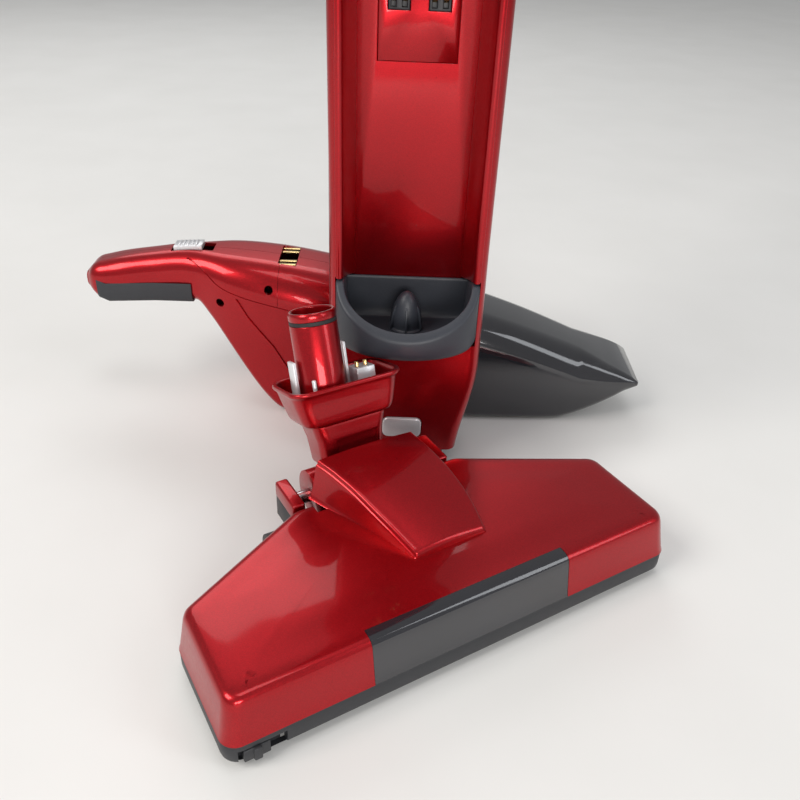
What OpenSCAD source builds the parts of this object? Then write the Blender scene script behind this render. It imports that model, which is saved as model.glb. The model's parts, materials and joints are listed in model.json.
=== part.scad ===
// Cordless upright cleaner, taken apart into its three units: the standing body with its
// empty bay, the floor head with its neck, and the hand unit that docks in the bay.
// Millimetres, +Z up, the body's front faces -Y. The origin is where the axis of the neck
// socket meets the surface that the three units stand on.

/* [Body] */
// Height of the whole standing body
body_h = 1000; // [900:10:1100]
// Half width of the body at the docking cup
body_hw = 47.5; // [46:0.5:49]
// Wall thickness of the moulded casings
wall = 2.5; // [2:0.1:3]
// Height at which the bay opens above the cup
bay_bottom = 139; // [136:1:146]
// Height of the top of the bay
bay_top = 560; // [540:5:580]
// Half width of the bay's mouth
bay_hw = 41; // [39:0.5:41.5]

/* [Floor head] */
// Place of the floor head's front edge, left to right
head_x = 45; // [40:1:52]
// Place of the floor head's front edge, front to back
head_y = -179; // [-200:1:-179]
// How far the floor head is turned from square, in degrees
head_yaw = 31; // [25:1:35]
// Half width of the floor head at its base
head_hw = 136; // [125:1:140]
// Height of the floor head's flat top
head_h = 43; // [41:1:46]

/* [Neck] */
// Lean of the neck from upright, in degrees
neck_lean = 18; // [14:1:20]
// Radius of the neck's air tube
tube_r = 13.7; // [13:0.1:13.7]
// Length of the neck from its pivot to the tube's end
neck_len = 108; // [104:1:112]

/* [Hand unit] */
// Half width of the hand unit
hand_hw = 37; // [34:0.5:37]
// Gap between the body's back and the hand unit
hand_gap = 4; // [3:0.5:10]

/* [Hidden] */
$fn = 48;

red = "#a80a1e";
dark_red = "#7a0a18";
black = "#303338";
grey = "#4a4d52";
silver = "#c8c8cc";
brass = "#c9a24a";
smoke = "#26262a";
gap = 0.3;

// ---- shapes that repeat -------------------------------------------------------------

// Points of a rounded rectangle from -hx..hx and y0..y1, corner radii front and back
function ring_xy(hx, y0, y1, rf, rb, k = 6) = concat(
  arc_pts(-hx + rf, y0 + rf, rf, 180, 270, k),
  arc_pts(hx - rf, y0 + rf, rf, 270, 360, k),
  arc_pts(hx - rb, y1 - rb, rb, 0, 90, k),
  arc_pts(-hx + rb, y1 - rb, rb, 90, 180, k)
);

// k + 1 points along an arc
function arc_pts(cx, cy, r, a0, a1, k) = [
  for (i = [0:k]) [cx + r * cos(a0 + (a1 - a0) * i / k), cy + r * sin(a0 + (a1 - a0) * i / k)]
];

// Lifts flat points to a height
function lift(pts, z) = [for (p = pts) [p[0], p[1], z]];

// Places flat points in the plane at x, so that a ring follows the hand unit's length
function stand(pts, x) = [for (p = pts) [x, p[0], p[1]]];

// Centre of a ring, and twice its area as a vector
function ring_centre(r) = [for (k = [0:2]) sum_of([for (p = r) p[k]]) / len(r)];
function ring_area(r) = let (n = len(r), c = [for (i = [0:n - 1]) cross(r[i], r[(i + 1) % n])])
  [for (k = [0:2]) sum_of([for (p = c) p[k]])];
function sum_of(v) = v * [for (x = v) 1];

// Solid skin through a list of rings that all have the same number of points.
// Either way round will do: the faces are turned when the rings run against their path.
module skin(rings) {
  n = len(rings[0]);
  m = len(rings);
  along = ring_area(rings[0]) * (ring_centre(rings[1]) - ring_centre(rings[0])) > 0;
  sides = [for (j = [0:m - 2]) for (i = [0:n - 1])
    [j * n + i, (j + 1) * n + i, (j + 1) * n + (i + 1) % n, j * n + (i + 1) % n]];
  faces = concat([[for (i = [0:n - 1]) i]], sides, [[for (i = [n - 1:-1:0]) (m - 1) * n + i]]);
  polyhedron(
    points = [for (r = rings) each r],
    faces = along ? faces : [for (f = faces) [for (i = [len(f) - 1:-1:0]) f[i]]],
    convexity = 6
  );
}

module tube(r_out, r_in, h) {
  difference() {
    cylinder(r = r_out, h = h);
    translate([0, 0, -1]) cylinder(r = r_in, h = h + 2);
  }
}

module block(size, centre) {
  translate(centre) cube(size, center = true);
}

module screw(r, h) {
  difference() {
    cylinder(r = r, h = h);
    translate([0, 0, h - 0.8]) cylinder(r = r * 0.5, h = 1, $fn = 6);
  }
}

module coil(r, wire, h, turns) {
  steps = turns * 12;
  skin([for (i = [0:steps]) let (a = i * 30, z = wire + (h - 2 * wire) * i / steps)
    [for (q = [0:5]) [
      (r + wire * cos(q * 60)) * cos(a),
      (r + wire * cos(q * 60)) * sin(a),
      z + wire * sin(q * 60)
    ]]
  ]);
}

// ---- standing body ------------------------------------------------------------------

casing_bottom = 12;
casing_top = 800;
body_x = 9;
body_y = 1;

module in_body() {
  translate([body_x, body_y, 0]) children();
}

// Body section by height: half width, front face, back face, front radius, back radius
hw_at = [[0, 37], [12, 37.5], [80, body_hw + 0.5], [145, body_hw], [300, body_hw + 0.5],
         [bay_top, body_hw - 2], [605, 42], [650, 32], [700, 23], [750, 18.5], [800, 17]];
front_at = [[0, -22], [90, -22], [110, -24], [bay_top, -24], [650, -22], [730, -18], [800, -16]];
back_at = [[0, 18], [90, 22], [145, 28], [bay_top, 29], [650, 26], [730, 20], [800, 16]];
rf_at = [[0, 7], [bay_top, 7], [650, 10], [800, 13]];
rb_at = [[0, 14], [bay_top, 18], [650, 18], [730, 15.5], [800, 13]];
body_zs = [casing_bottom, 45, 80, 110, 145, 220, 300, 430, bay_top, 605, 628, 650, 675, 700, 725, 750,
           775, casing_top];

function body_ring(z, inset) = ring_xy(
  lookup(z, hw_at) - inset,
  lookup(z, front_at) + inset,
  lookup(z, back_at) - inset,
  lookup(z, rf_at) - inset,
  lookup(z, rb_at) - inset
);

// Half of a body ring as a closed C: side = 0 is the front half, side = 1 the back half
function half_ring(z, side) = let (
  o = body_ring(z, 0),
  q = body_ring(z, wall),
  n = len(o) / 2,
  s = side * n,
  y = side == 0 ? -gap / 2 : gap / 2,
  a = [for (i = [0:n - 1]) o[i + s]],
  b = [for (i = [n - 1:-1:0]) q[i + s]]
) concat([[a[0][0], y]], a, [[a[n - 1][0], y]], [[b[0][0], y]], b, [[b[n - 1][0], y]]);

module casing_half(side) {
  skin([for (z = body_zs) lift(half_ring(z, side), z)]);
}

// The bay's outline seen from the front, with an arched top
module bay_outline(extra) {
  hw = bay_hw + extra;
  polygon(concat(
    [[-hw, bay_bottom - 8], [hw, bay_bottom - 8]],
    arc_pts(hw - 22, bay_top - 30 + extra, 22, 0, 90, 8),
    arc_pts(-hw + 22, bay_top - 30 + extra, 22, 90, 180, 8)
  ));
}

module front_view(depth) {
  rotate([90, 0, 0]) linear_extrude(depth) children();
}

module front_casing() {
  color(red) in_body() difference() {
    casing_half(0);
    translate([0, 30, 0]) front_view(60) bay_outline(2.3);
    block([2 * cup_hw + 1, 60, bay_bottom - cup_floor + 4], [0, -20, (bay_bottom + cup_floor - 4) / 2]);
    block([button_w + 1, 20, button_h + 1], [0, -22, button_z]);
    translate([0, -30, 690]) rotate([-90, 0, 0]) cylinder(r = 3, h = 20);
  }
}

screw_zs = [60, 200, 420, 620];

module rear_casing() {
  color(red) in_body() difference() {
    casing_half(1);
    for (z = screw_zs) translate([0, lookup(z, back_at) - 1.05, z]) rotate([-90, 0, 0])
      cylinder(r = 3.45, h = 9);
  }
}

// Two thin dark strips that close the seam between the casings
module side_trim() {
  color(dark_red) in_body() for (s = [-1, 1])
    skin([for (z = [casing_bottom + 8, 45, 80, 110, 145, 220, 300, 430, bay_top, 605, 628, 650])
      let (x = s * (lookup(z, hw_at) + gap))
        lift(s > 0 ? [[x, -5], [x + 1.2, -4], [x + 1.2, 3], [x, 4]]
                   : [[x, 4], [x - 1.2, 3], [x - 1.2, -4], [x, -5]], z)]);
}

socket_x = -9;
plug_x = 17;
socket_h = 56;
seal_z = 44;

module foot_plate() {
  color(black) in_body() difference() {
    union() {
      skin([
        lift(ring_xy(29.5, -15.5, 13.5, 8, 8), 0),
        lift(ring_xy(30.5, -16.5, 14.5, 8, 8), casing_bottom - gap)
      ]);
      skin([for (z = [casing_bottom - gap - 0.5, 16]) lift(ring_xy(34.4, -18.9, 14.9, 6, 8), z)]);
    }
    translate([socket_x, -1, -1]) cylinder(r = 17.1, h = 30);
    block([15.4, 15.4, 60], [plug_x + 1, -1, 20]);
  }
}

module socket_sleeve() {
  color(black) in_body() translate([socket_x, -1, 0]) difference() {
    cylinder(r = 17, h = socket_h);
    translate([0, 0, -1]) cylinder(r = 14, h = socket_h - 2);
    cylinder(r = 11.5, h = socket_h + 1);
    translate([0, 0, seal_z]) cylinder(r = 15.5, h = 3);
    block([40, 6, 24], [0, -18.2, button_z]);
  }
}

module socket_seal() {
  color(black) in_body() translate([socket_x, -1, seal_z + 0.2]) tube(15.4, 14.02, 2.6);
}

module connector_socket() {
  color(black) in_body() difference() {
    block([15, 15, 34], [plug_x + 1, -1, 18]);
    block([12.4, 12.4, 30], [plug_x + 1, -1, 12]);
  }
}

cup_hw = 43.5;
cup_reach = 29;
cup_floor = 98;
cone_y = -8;

// Half ellipse that bulges forward from the casing's face, closed straight at the back
function cup_ring(hx, reach, y_back, k = 20) = concat(
  [for (i = [0:k]) [-hx * cos(180 * i / k), -24 - reach * sin(180 * i / k)]],
  [[hx, y_back], [-hx, y_back]]
);

// Height of the cup's sloped rim above the floor at a place from back to front
module rim_cut() {
  translate([-80, 0, 0]) rotate([90, 0, 90]) linear_extrude(160)
    polygon([[-90, 105], [-53, 112], [-25, 137], [-20, 137.5], [10, 126.5], [10, 220], [-90, 220]]);
}

module dock_cup() {
  color(grey) in_body() union() {
    difference() {
      skin([
        lift(cup_ring(cup_hw - 8, cup_reach - 12, 10), cup_floor - 2.5),
        lift(cup_ring(cup_hw - 2, cup_reach - 4, 10), cup_floor),
        lift(cup_ring(cup_hw, cup_reach, 10), cup_floor + 5),
        lift(cup_ring(cup_hw, cup_reach, 10), bay_bottom + 2)
      ]);
      rim_cut();
      skin([
        lift(cup_ring(cup_hw - 13, cup_reach - 16, 7), cup_floor + 1.5),
        lift(cup_ring(cup_hw - 6, cup_reach - 6, 7), cup_floor + 7),
        lift(cup_ring(cup_hw - 5, cup_reach - 5, 7), bay_bottom + 10)
      ]);
      block([200, 40, 200], [0, 29.8, 150]);
      translate([0, cone_y, cup_floor - 10]) cylinder(r = 9.1, h = 30);
    }
    cup_back();
  }
}

// Height of the grey plate behind the cup
back_top = 126.5;

// Flat grey plate that rises behind the cup, with cut lower corners
module cup_back() {
  translate([0, 9.5, 0]) front_view(2.5) polygon([
    [-24, cup_floor], [24, cup_floor], [33, cup_floor + 10],
    [33, back_top], [-33, back_top], [-33, cup_floor + 10]
  ]);
}

// Pointed cone that stands in the cup and opens the hand unit's intake
module cup_cone() {
  color(grey) in_body() translate([0, cone_y, cup_floor - 6]) difference() {
    rotate_extrude() polygon(concat(
      [[0, 0], [8.8, 0], [8.8, 7.8], [9.5, 7.8]],
      [for (i = [0:8]) [9.5 * cos(i * 10), 8 + 24 * sin(i * 10)]],
      [[0, 32.2]]
    ));
    translate([0, 0, -1]) cylinder(r = 6.8, h = 14);
    for (a = [30:60:330]) rotate([0, 0, a]) block([20, 3, 10], [10, 0, 15]);
  }
}

duct_h = cup_floor - 6.4 - socket_h - 0.2;

// Round section of the duct between the socket and the cup, at a share t of its length
function duct_ring(t, r) = arc_pts(socket_x * (1 - t), -1 + (cone_y + 1) * t, r, 0, 350, 35);

module air_duct() {
  color(grey) in_body() difference() {
    skin([for (t = [0:0.25:1]) lift(duct_ring(t, 13.5 - 3 * t), socket_h + 0.2 + duct_h * t)]);
    skin([for (t = [0:0.25:1]) lift(duct_ring(t, 11 - 2.6 * t), socket_h - 1 + (duct_h + 3) * t)]);
  }
}

module bay_liner() {
  color(dark_red) in_body() difference() {
    translate([0, 0, back_top]) linear_extrude(bay_top - back_top - 2) polygon([
      [-bay_hw - 2, -23.6], [-bay_hw, -23.6], [-35, 11], [35, 11], [bay_hw, -23.6], [bay_hw + 2, -23.6],
      [37, 13.5], [-37, 13.5]
    ]);
    difference() {
      block([120, 60, 80], [0, -10, bay_top + 10]);
      translate([0, 40, 0]) front_view(100) bay_outline(2);
    }
    translate([-80, 0, 0]) rotate([90, 0, 90]) linear_extrude(160)
      polygon([[-40, 100], [20, 100], [20, 128], [9, 128], [-20, 138.4], [-40, 138.4]]);
  }
  color(dark_red) in_body() intersection() {
    difference() {
      translate([0, 13.5, 0]) front_view(37.1) bay_outline(2);
      translate([0, 14.5, 0]) front_view(39) bay_outline(0);
    }
    block([120, 60, 40], [0, 0, bay_top - 10]);
  }
}

module bay_panel() {
  color(red) in_body() difference() {
    union() {
      translate([0, 10.9, 0]) front_view(2) polygon(concat(
        [[-34.5, back_top + gap], [34.5, back_top + gap]],
        arc_pts(34.5 - 18, bay_top - 28, 18, 0, 90, 6),
        arc_pts(-34.5 + 18, bay_top - 28, 18, 90, 180, 6)
      ));
      for (s = [-1, 1]) block([3, 7.4, 9], [s * 11.2, 5.8, latch_z + 1]);
      translate([-12, 5.5, latch_z + 1]) rotate([0, 90, 0]) cylinder(r = 1.5, h = 24);
    }
    block([45, 10, 74], [0, 10, contact_z + 3]);
  }
}

contact_z = 290;

module contact_plate() {
  color(red) in_body() difference() {
    block([44.4, 3, 73.4], [0, 9.2, contact_z + 3]);
    for (x = [-11, 11]) block([12, 10, 17], [x, 10, contact_z + 1]);
  }
}

module contact_blocks() {
  color(black) in_body() for (x = [-11, 11]) difference() {
    block([11.6, 4.6, 16.6], [x, 8.4, contact_z + 1]);
    for (s = [-3, 3]) block([3, 4, 14], [x + s, 6.5, contact_z + 1]);
  }
}

module contact_springs() {
  color(brass) in_body() for (x = [-14, -8, 8, 14])
    translate([x - 1.2, 0, contact_z + 1]) rotate([0, 90, 0]) linear_extrude(2.4) difference() {
      translate([0, 9]) circle(r = 4.4);
      translate([0, 9]) circle(r = 3.8);
      translate([-10, 8.4]) square([20, 10]);
    }
}

button_z = 30;
button_w = 26;
button_h = 15;

module release_button() {
  color(silver) in_body() {
    translate([0, -18.8, 0]) front_view(4.7) polygon(concat(
      arc_pts(-button_w / 2 + 4, button_z - button_h / 2 + 4, 4, 180, 270, 4),
      arc_pts(button_w / 2 - 4, button_z - button_h / 2 + 4, 4, 270, 360, 4),
      arc_pts(button_w / 2 - 4, button_z + button_h / 2 - 4, 4, 0, 90, 4),
      arc_pts(-button_w / 2 + 4, button_z + button_h / 2 - 4, 4, 90, 180, 4)
    ));
  }
}

module release_spring() {
  color(silver) in_body() translate([11, -18.7, button_z]) rotate([-90, 0, 0]) coil(2.6, 0.3, 10, 6);
}

latch_z = bay_top - 16;

// Sprung catch at the top of the bay that holds the docked hand unit
module dock_latch() {
  color(black) in_body() difference() {
    translate([-9, 0, 0]) rotate([90, 0, 90]) linear_extrude(18) polygon([
      [2, latch_z - 4], [6.5, latch_z - 4], [8.2, latch_z], [8.2, latch_z + 6], [3, latch_z + 6],
      [-6, latch_z - 2], [-8, latch_z - 9], [-4, latch_z - 7]
    ]);
    translate([-10, 5.5, latch_z + 1]) rotate([0, 90, 0]) cylinder(r = 1.56, h = 20);
  }
}

loop_z = 800;
grip_w = 26;

// Side view of the handle loop, y against z
module loop_side() {
  difference() {
    polygon(concat(
      [[-16, loop_z + 0.3], [16, loop_z + 0.3], [24, loop_z + 60]],
      arc_pts(30, body_h - 38, 34, -25, 90, 8),
      arc_pts(2, body_h - 30, 26, 90, 180, 6),
      [[-22, loop_z + 60]]
    ));
    polygon(concat(
      arc_pts(24, body_h - 42, 16, -15, 90, 8),
      arc_pts(6, body_h - 38, 12, 90, 180, 6),
      arc_pts(2, loop_z + 52, 8, 180, 330, 6)
    ));
  }
}

module loop_slab(w) {
  translate([-w / 2, 0, 0]) rotate([90, 0, 90]) linear_extrude(w) children();
}

module grip_loop() {
  color(red) in_body() difference() {
    loop_slab(grip_w) loop_side();
    block([14, 6, 37], [0, -22.2, slider_z - 1.5]);
  }
}

slider_z = 930;

// Soft sleeve round the back run of the loop
module grip_pad() {
  color(grey) in_body() difference() {
    loop_slab(grip_w + 4) polygon([
      [12, loop_z + 76], [31.5, loop_z + 71], [60.5, loop_z + 140], [36.5, loop_z + 148]
    ]);
    loop_slab(grip_w + 0.1) loop_side();
  }
}

module power_slider() {
  color(silver) in_body() translate([0, -21.4, slider_z + 3.5]) {
    block([11, 3.6, 18], [0, 0, -4]);
    for (z = [-10:3:2]) block([9, 1.2, 1.2], [0, -2.2, z]);
  }
}

module body_screws() {
  color(silver) in_body() for (z = screw_zs) translate([0, lookup(z, back_at) - 1, z])
    rotate([-90, 0, 0]) screw(3.4, 1.6);
}

// ---- floor head ---------------------------------------------------------------------

pivot_v = 114;
pivot_w = 34;
neck_u = -8;

module in_head() {
  translate([head_x, head_y, 0]) rotate([0, 0, head_yaw]) children();
}

// Plan of the floor head: straight front, slanted back corners; inset shrinks it
function head_plan(inset) = let (
  w = head_hw - inset,
  f = -11 + inset,
  b = 101 - inset,
  s = 58 - inset * 0.6,
  r = max(9 - inset * 0.3, 2)
) concat(
  arc_pts(-w + r, f + r, r, 180, 270, 4),
  arc_pts(w - r, f + r, r, 270, 360, 4),
  arc_pts(w - r, s - r * 0.6, r, 0, 62, 3),
  arc_pts(52 - inset * 0.4, b - 14, 14, 62, 90, 3),
  arc_pts(-52 + inset * 0.4, b - 14, 14, 90, 118, 3),
  arc_pts(-w + r, s - r * 0.6, r, 118, 180, 3)
);

seam_w = 17;

module head_block(inset, w0, w1, drop) {
  skin([
    lift(head_plan(inset), w0),
    lift(head_plan(inset + (w1 - w0) * 0.16), w1 - 3),
    lift(head_plan(inset + (w1 - w0) * 0.16 + 1), w1 - 1),
    lift(head_plan(inset + (w1 - w0) * 0.16 + 3), w1 - drop)
  ]);
}

window_hw = 60;

module head_cover() {
  color(red) in_head() difference() {
    head_block(0, seam_w, head_h, 0);
    head_block(wall, seam_w - 0.5, head_h - wall, 0);
    block([2 * window_hw + 0.6, 40, 60], [0, -18.3, 46]);
    block([106, 60, 60], [0, 118, 1.3]);
    block([76, 60, 60], [-5, 118, 40]);
    for (s = [-1, 1]) block([16, 40, 20], [s * (wheel_u + 5.5), wheel_v + 6, 17]);
    block([44, 38, 20], [2, 79, head_h]);
  }
}

// Smoky lens that wraps the front edge, flush with the cover
module window_lens() {
  color(smoke) in_head() intersection() {
    difference() {
      head_block(0.2, seam_w + 0.3, head_h - 0.1, 0);
      head_block(wall + 0.2, seam_w - 0.5, head_h - wall - 0.1, 0);
    }
    block([2 * window_hw, 40, 60], [0, -18.5, 40]);
  }
}

module led_board() {
  color("green") in_head() block([100, 1.4, 12], [0, -2.5, 29]);
  color("white") in_head() for (u = [-36, -12, 12, 36]) block([4.5, 1.6, 4.5], [u, -4.1, 29]);
}

brush_v = 22;
brush_w = 17.5;
wheel_u = 58;
wheel_v = 98;
wheel_w = 13;
screw_us = [-80, -30, 30, 80];

module head_base() {
  color(black) in_head() difference() {
    union() {
      skin([lift(head_plan(3), 3), lift(head_plan(0.4), 6), lift(head_plan(0.4), seam_w - gap)]);
      for (s = [-1, 1]) block([7, 26, 24], [s * 48.5, pivot_v, pivot_w - 6]);
      for (s = [-1, 1]) block([7, 30, 20], [s * 48.5, pivot_v - 13, 20]);
    }
    block([226, 44, 60], [0, brush_v + 1, 6.9]);
    block([76, 62, 60], [0, 100, 20]);
    block([200, 24, 60], [0, 62, 34]);
    for (s = [-1, 1]) block([15, 34, 60], [s * (wheel_u + 5.5), wheel_v, 6]);
    for (s = [-1, 1]) block([13, 14, 60], [s * 122, 62, -20]);
    for (s = [-1, 1]) translate([s * 40, pivot_v, pivot_w]) rotate([0, 90 * s, 0]) cylinder(r = 4.05, h = 20);
    for (s = [-1, 1]) translate([s * 40, wheel_v, wheel_w]) rotate([0, 90 * s, 0]) cylinder(r = 2.5, h = 50);
    block([24, 8, 9.4], [-118, -10, 8.6]);
    block([12, 20, 30], [93.5, 48, 25]);
    for (u = screw_us) translate([u, 50, 0]) cylinder(r = 3.3, h = 4.4);
    for (s = [-1, 1]) block([16, 16, 40], [s * 100, 2, -12.2]);
  }
}

module toe_latch() {
  color(black) in_head() {
    block([13, 5, 8], [-121, -8.6, 8.6]);
    block([4, 2, 8], [-121, -11.6, 8.6]);
  }
}

// Curved cover over the neck's joint, low at the front and high at the back. Its middle line
// runs askew, because the neck stands left of the head's middle. Each section is the distance
// back, the middle, the half width and the height.
hood_sections = [
  [30, 8.2, 23, 47.5], [44, 6.8, 26.5, 53], [60, 4.4, 30, 58.5],
  [76, 0.8, 33, 63.5], [92, -3, 35.5, 67], [101.8, -5.5, 37, 68]
];

function hood_ring(v, mid, hw, top, inset) = concat(
  [[mid + hw - inset, v, 38]],
  [for (i = [0:8]) let (a = i * 22.5)
    [mid + (hw - inset) * (abs(cos(a)) < 0.01 ? 0 : sign(cos(a)) * pow(abs(cos(a)), 0.3)),
     v, 38 + (top - inset - 38) * (0.86 * pow(sin(a), 0.35) + 0.14 * sin(a))]],
  [[mid - hw + inset, v, 38]]
);

module hood_cover() {
  color(red) in_head() difference() {
    skin([for (s = hood_sections) hood_ring(s[0], s[1], s[2], s[3], 0)]);
    skin([for (s = hood_sections)
      hood_ring(s[0] + (s[0] < 31 ? 2.5 : s[0] > 101 ? 2 : 0), s[1], s[2], s[3], 2.5)]);
    block([200, 60, 60], [0, 60, 38 - 30 + 5.2]);
    translate([0, pivot_v, pivot_w]) along_u(-50, 100) circle(r = 15.6);
  }
}

module along_u(u0, h) {
  translate([u0, 0, 0]) rotate([0, 90, 0]) linear_extrude(h) children();
}

module brush_core() {
  color(grey) in_head() translate([0, brush_v, brush_w]) {
    along_u(-100, 200) circle(r = 8);
    along_u(-108, 216) circle(r = 3);
    along_u(88, 10) circle(r = 11);
  }
}

// Two rows of tufts that wind round the brush roll
module brush_bristles() {
  color(black) in_head() translate([0, brush_v, brush_w])
    for (row = [0, 180]) skin([for (i = [0:24]) let (u = -98 + i * 7.7, a = row + i * 14)
      [for (q = [[-1.6, 8.1], [1.6, 8.1], [1.1, 15.4], [-1.1, 15.4]])
        [u, q[1] * cos(a) - q[0] * sin(a), q[1] * sin(a) + q[0] * cos(a)]]
    ]);
}

module brush_bearings() {
  color(black) in_head() for (s = [-1, 1]) translate([s * 105.6, brush_v, brush_w])
    rotate([0, 90, 0]) translate([0, 0, -3]) tube(6.5, 3.06, 7);
}

motor_v = 58;
motor_w = 24;

module brush_motor() {
  color(silver) in_head() translate([0, motor_v, motor_w]) {
    along_u(44, 40) circle(r = 11);
    along_u(30, 14) circle(r = 5);
  }
}

module motor_pulley() {
  color(brass) in_head() translate([0, motor_v, motor_w]) {
    along_u(84.5, 4) circle(r = 1.6);
    along_u(88.5, 10) circle(r = 6);
  }
}

// Belt round the two pulleys, as a flat loop
module drive_belt() {
  color(black) in_head() translate([90, 0, 0]) rotate([90, 0, 90]) linear_extrude(7) difference() {
    hull() {
      translate([brush_v, brush_w]) circle(r = 12.6);
      translate([motor_v, motor_w]) circle(r = 7.6);
    }
    hull() {
      translate([brush_v, brush_w]) circle(r = 11.2);
      translate([motor_v, motor_w]) circle(r = 6.2);
    }
  }
}

module head_wheel(side) {
  in_head() translate([side * (wheel_u + 5.5), wheel_v, wheel_w]) rotate([0, 90, 0]) {
    color(black) difference() {
      translate([0, 0, -5]) cylinder(r = 13, h = 10);
      translate([0, 0, -6]) cylinder(r = 2.56, h = 12);
      for (e = [-1, 1]) translate([0, 0, e * 5]) rotate_extrude() translate([7.5, 0]) circle(r = 1.8);
    }
  }
}

module rear_wheel_left() {
  head_wheel(-1);
}

module rear_wheel_right() {
  head_wheel(1);
}

module wheel_axles() {
  color(silver) in_head() for (s = [-1, 1])
    translate([s * (wheel_u + 5.5), wheel_v, wheel_w]) rotate([0, 90, 0])
      translate([0, 0, -11]) cylinder(r = 2.5, h = 22);
}

module front_rollers() {
  color(grey) in_head() for (s = [-1, 1]) translate([s * 122, 62, 5]) rotate([0, 90, 0])
    translate([0, 0, -5]) cylinder(r = 5, h = 10);
}

module barrel_pins() {
  color(silver) in_head() for (s = [-1, 1]) translate([s * 43.5, pivot_v, pivot_w])
    rotate([0, 90, 0]) translate([0, 0, -8.4]) cylinder(r = 4, h = 16.8);
}

module head_screws() {
  color(silver) in_head() for (u = screw_us) translate([u, 50, 2.2]) cylinder(r = 3, h = 2);
}

// ---- neck ---------------------------------------------------------------------------

module in_neck() {
  in_head() translate([neck_u, pivot_v, pivot_w]) rotate([-neck_lean, 0, 0]) children();
}

tray_floor = 44;
tray_lip = 67;
stub_r = 9;

module pivot_barrel() {
  color(red) difference() {
    union() {
      in_head() translate([0, pivot_v, pivot_w]) along_u(-36, 72) circle(r = 15);
      in_neck() cylinder(r = stub_r, h = 40);
    }
    in_head() translate([0, pivot_v, pivot_w]) {
      along_u(-50, 15.2) circle(r = 4.05);
      along_u(34.8, 15.2) circle(r = 4.05);
    }
    in_neck() cylinder(r = 6.5, h = 50);
  }
}

module neck_yoke() {
  color(red) in_neck() difference() {
    skin([
      lift(ring_xy(20, -13, 13, 7, 7), 17),
      lift(ring_xy(21, -14, 14, 7, 7), 34),
      lift(ring_xy(24, -15, 15, 7, 7), tray_floor - gap)
    ]);
    translate([0, 0, 10]) cylinder(r = stub_r + 0.06, h = 31);
    cylinder(r = 8, h = 60);
    block([26, 6, 9], [2, -15.2, 29]);
  }
}

module neck_tray() {
  color(red) in_neck() difference() {
    skin([
      lift(ring_xy(27, -15.5, 15.5, 6, 6), tray_floor),
      lift(ring_xy(30, -17.5, 17.5, 8, 8), tray_floor + 4),
      lift(ring_xy(33.4, -19.6, 19.6, 10, 10), tray_lip - 4),
      lift(ring_xy(35, -21, 21, 10, 10), tray_lip - 2.4),
      lift(ring_xy(35, -21, 21, 10, 10), tray_lip)
    ]);
    skin([
      lift(ring_xy(27, -14.5, 14.5, 7, 7), tray_floor + 3),
      lift(ring_xy(31, -17.2, 17.2, 8.5, 8.5), tray_lip - 4),
      lift(ring_xy(32.6, -18.6, 18.6, 9, 9), tray_lip + 1)
    ]);
    translate([socket_x, 0, tray_floor - 1]) cylinder(r = tube_r - 0.3, h = 10);
  }
}

seal_s = neck_len - 7;

module neck_tube() {
  color(red) in_neck() translate([socket_x, 0, tray_floor + 3.1]) difference() {
    union() {
      cylinder(r = tube_r, h = neck_len - tray_floor - 3.1);
      cylinder(r = tube_r + 0.6, h = 3);
    }
    translate([0, 0, -1]) cylinder(r = tube_r - 2.2, h = 90);
    translate([0, 0, seal_s - tray_floor - 3.1]) tube(20, tube_r - 1, 2.2);
  }
}

module tube_seal() {
  color(black) in_neck() translate([socket_x, 0, seal_s + 0.1]) tube(tube_r - 0.1, tube_r - 0.98, 2);
}

module connector_block() {
  color(silver) in_neck() difference() {
    block([11.6, 11.6, 22], [plug_x, 0, tray_floor + 14.2]);
    for (x = [-2.8, 2.8]) translate([plug_x + x, 0, tray_floor + 16]) cylinder(r = 1.5, h = 20);
  }
}

module connector_pins() {
  color(brass) in_neck() for (x = [-2.8, 2.8])
    translate([plug_x + x, 0, tray_floor + 16.1]) cylinder(r = 1.2, h = 12);
}

module guide_ribs() {
  color(silver) in_neck() {
    block([2.2, 8, 34], [-25.7, 0, tray_floor + 20.2]);
    translate([-19, -12.6, tray_floor + 3.2]) cylinder(r = 1.2, h = 24);
    block([2, 5, 38], [8.6, 4, tray_floor + 22.2]);
  }
}

// ---- hand unit ----------------------------------------------------------------------

hand_y = body_y + 29 + hand_gap + hand_hw;
split_x = 4;

module in_hand() {
  translate([body_x, hand_y, 0]) children();
}

// Hand unit's section along its length: half width, underside, top, corner radius
case_hw = [[-228, 9], [-224, 13], [-214, 15.5], [-180, 16.5], [-150, 19], [-125, 29], [-95, 35],
           [-60, hand_hw], [split_x, hand_hw]];
case_low = [[-228, 84], [-224, 79], [-214, 76], [-180, 78.5], [-150, 80], [-140, 70], [-92, 1.5],
            [-84, 0], [split_x, 0]];
case_high = [[-228, 96], [-224, 101], [-214, 105], [-180, 112], [-150, 115.5], [-110, 114],
             [-62, 107.5], [-30, 100], [split_x, 92]];
case_r = [[-228, 5], [-224, 8], [-214, 11], [-180, 13], [-150, 14], [-125, 18], [-95, 22], [-60, 24],
          [split_x, 24]];
case_xs = [-228, -224, -214, -198, -180, -165, -150, -140, -125, -110, -95, -84, -62, -40, -20, split_x - 4];

function case_ring_pts(x, inset) = let (
  h = lookup(x, case_hw) - inset,
  a = lookup(x, case_low) + inset,
  b = lookup(x, case_high) - inset,
  r = max(min(lookup(x, case_r), (b - a) / 2 - 0.2, h - 0.2), 1),
  q = min(r, 8)
) concat(
  arc_pts(h - q, a + q, q, 270, 360, 6),
  arc_pts(h - r, b - r, r, 0, 90, 6),
  arc_pts(-h + r, b - r, r, 90, 180, 6),
  arc_pts(-h + q, a + q, q, 180, 270, 6)
);

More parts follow.
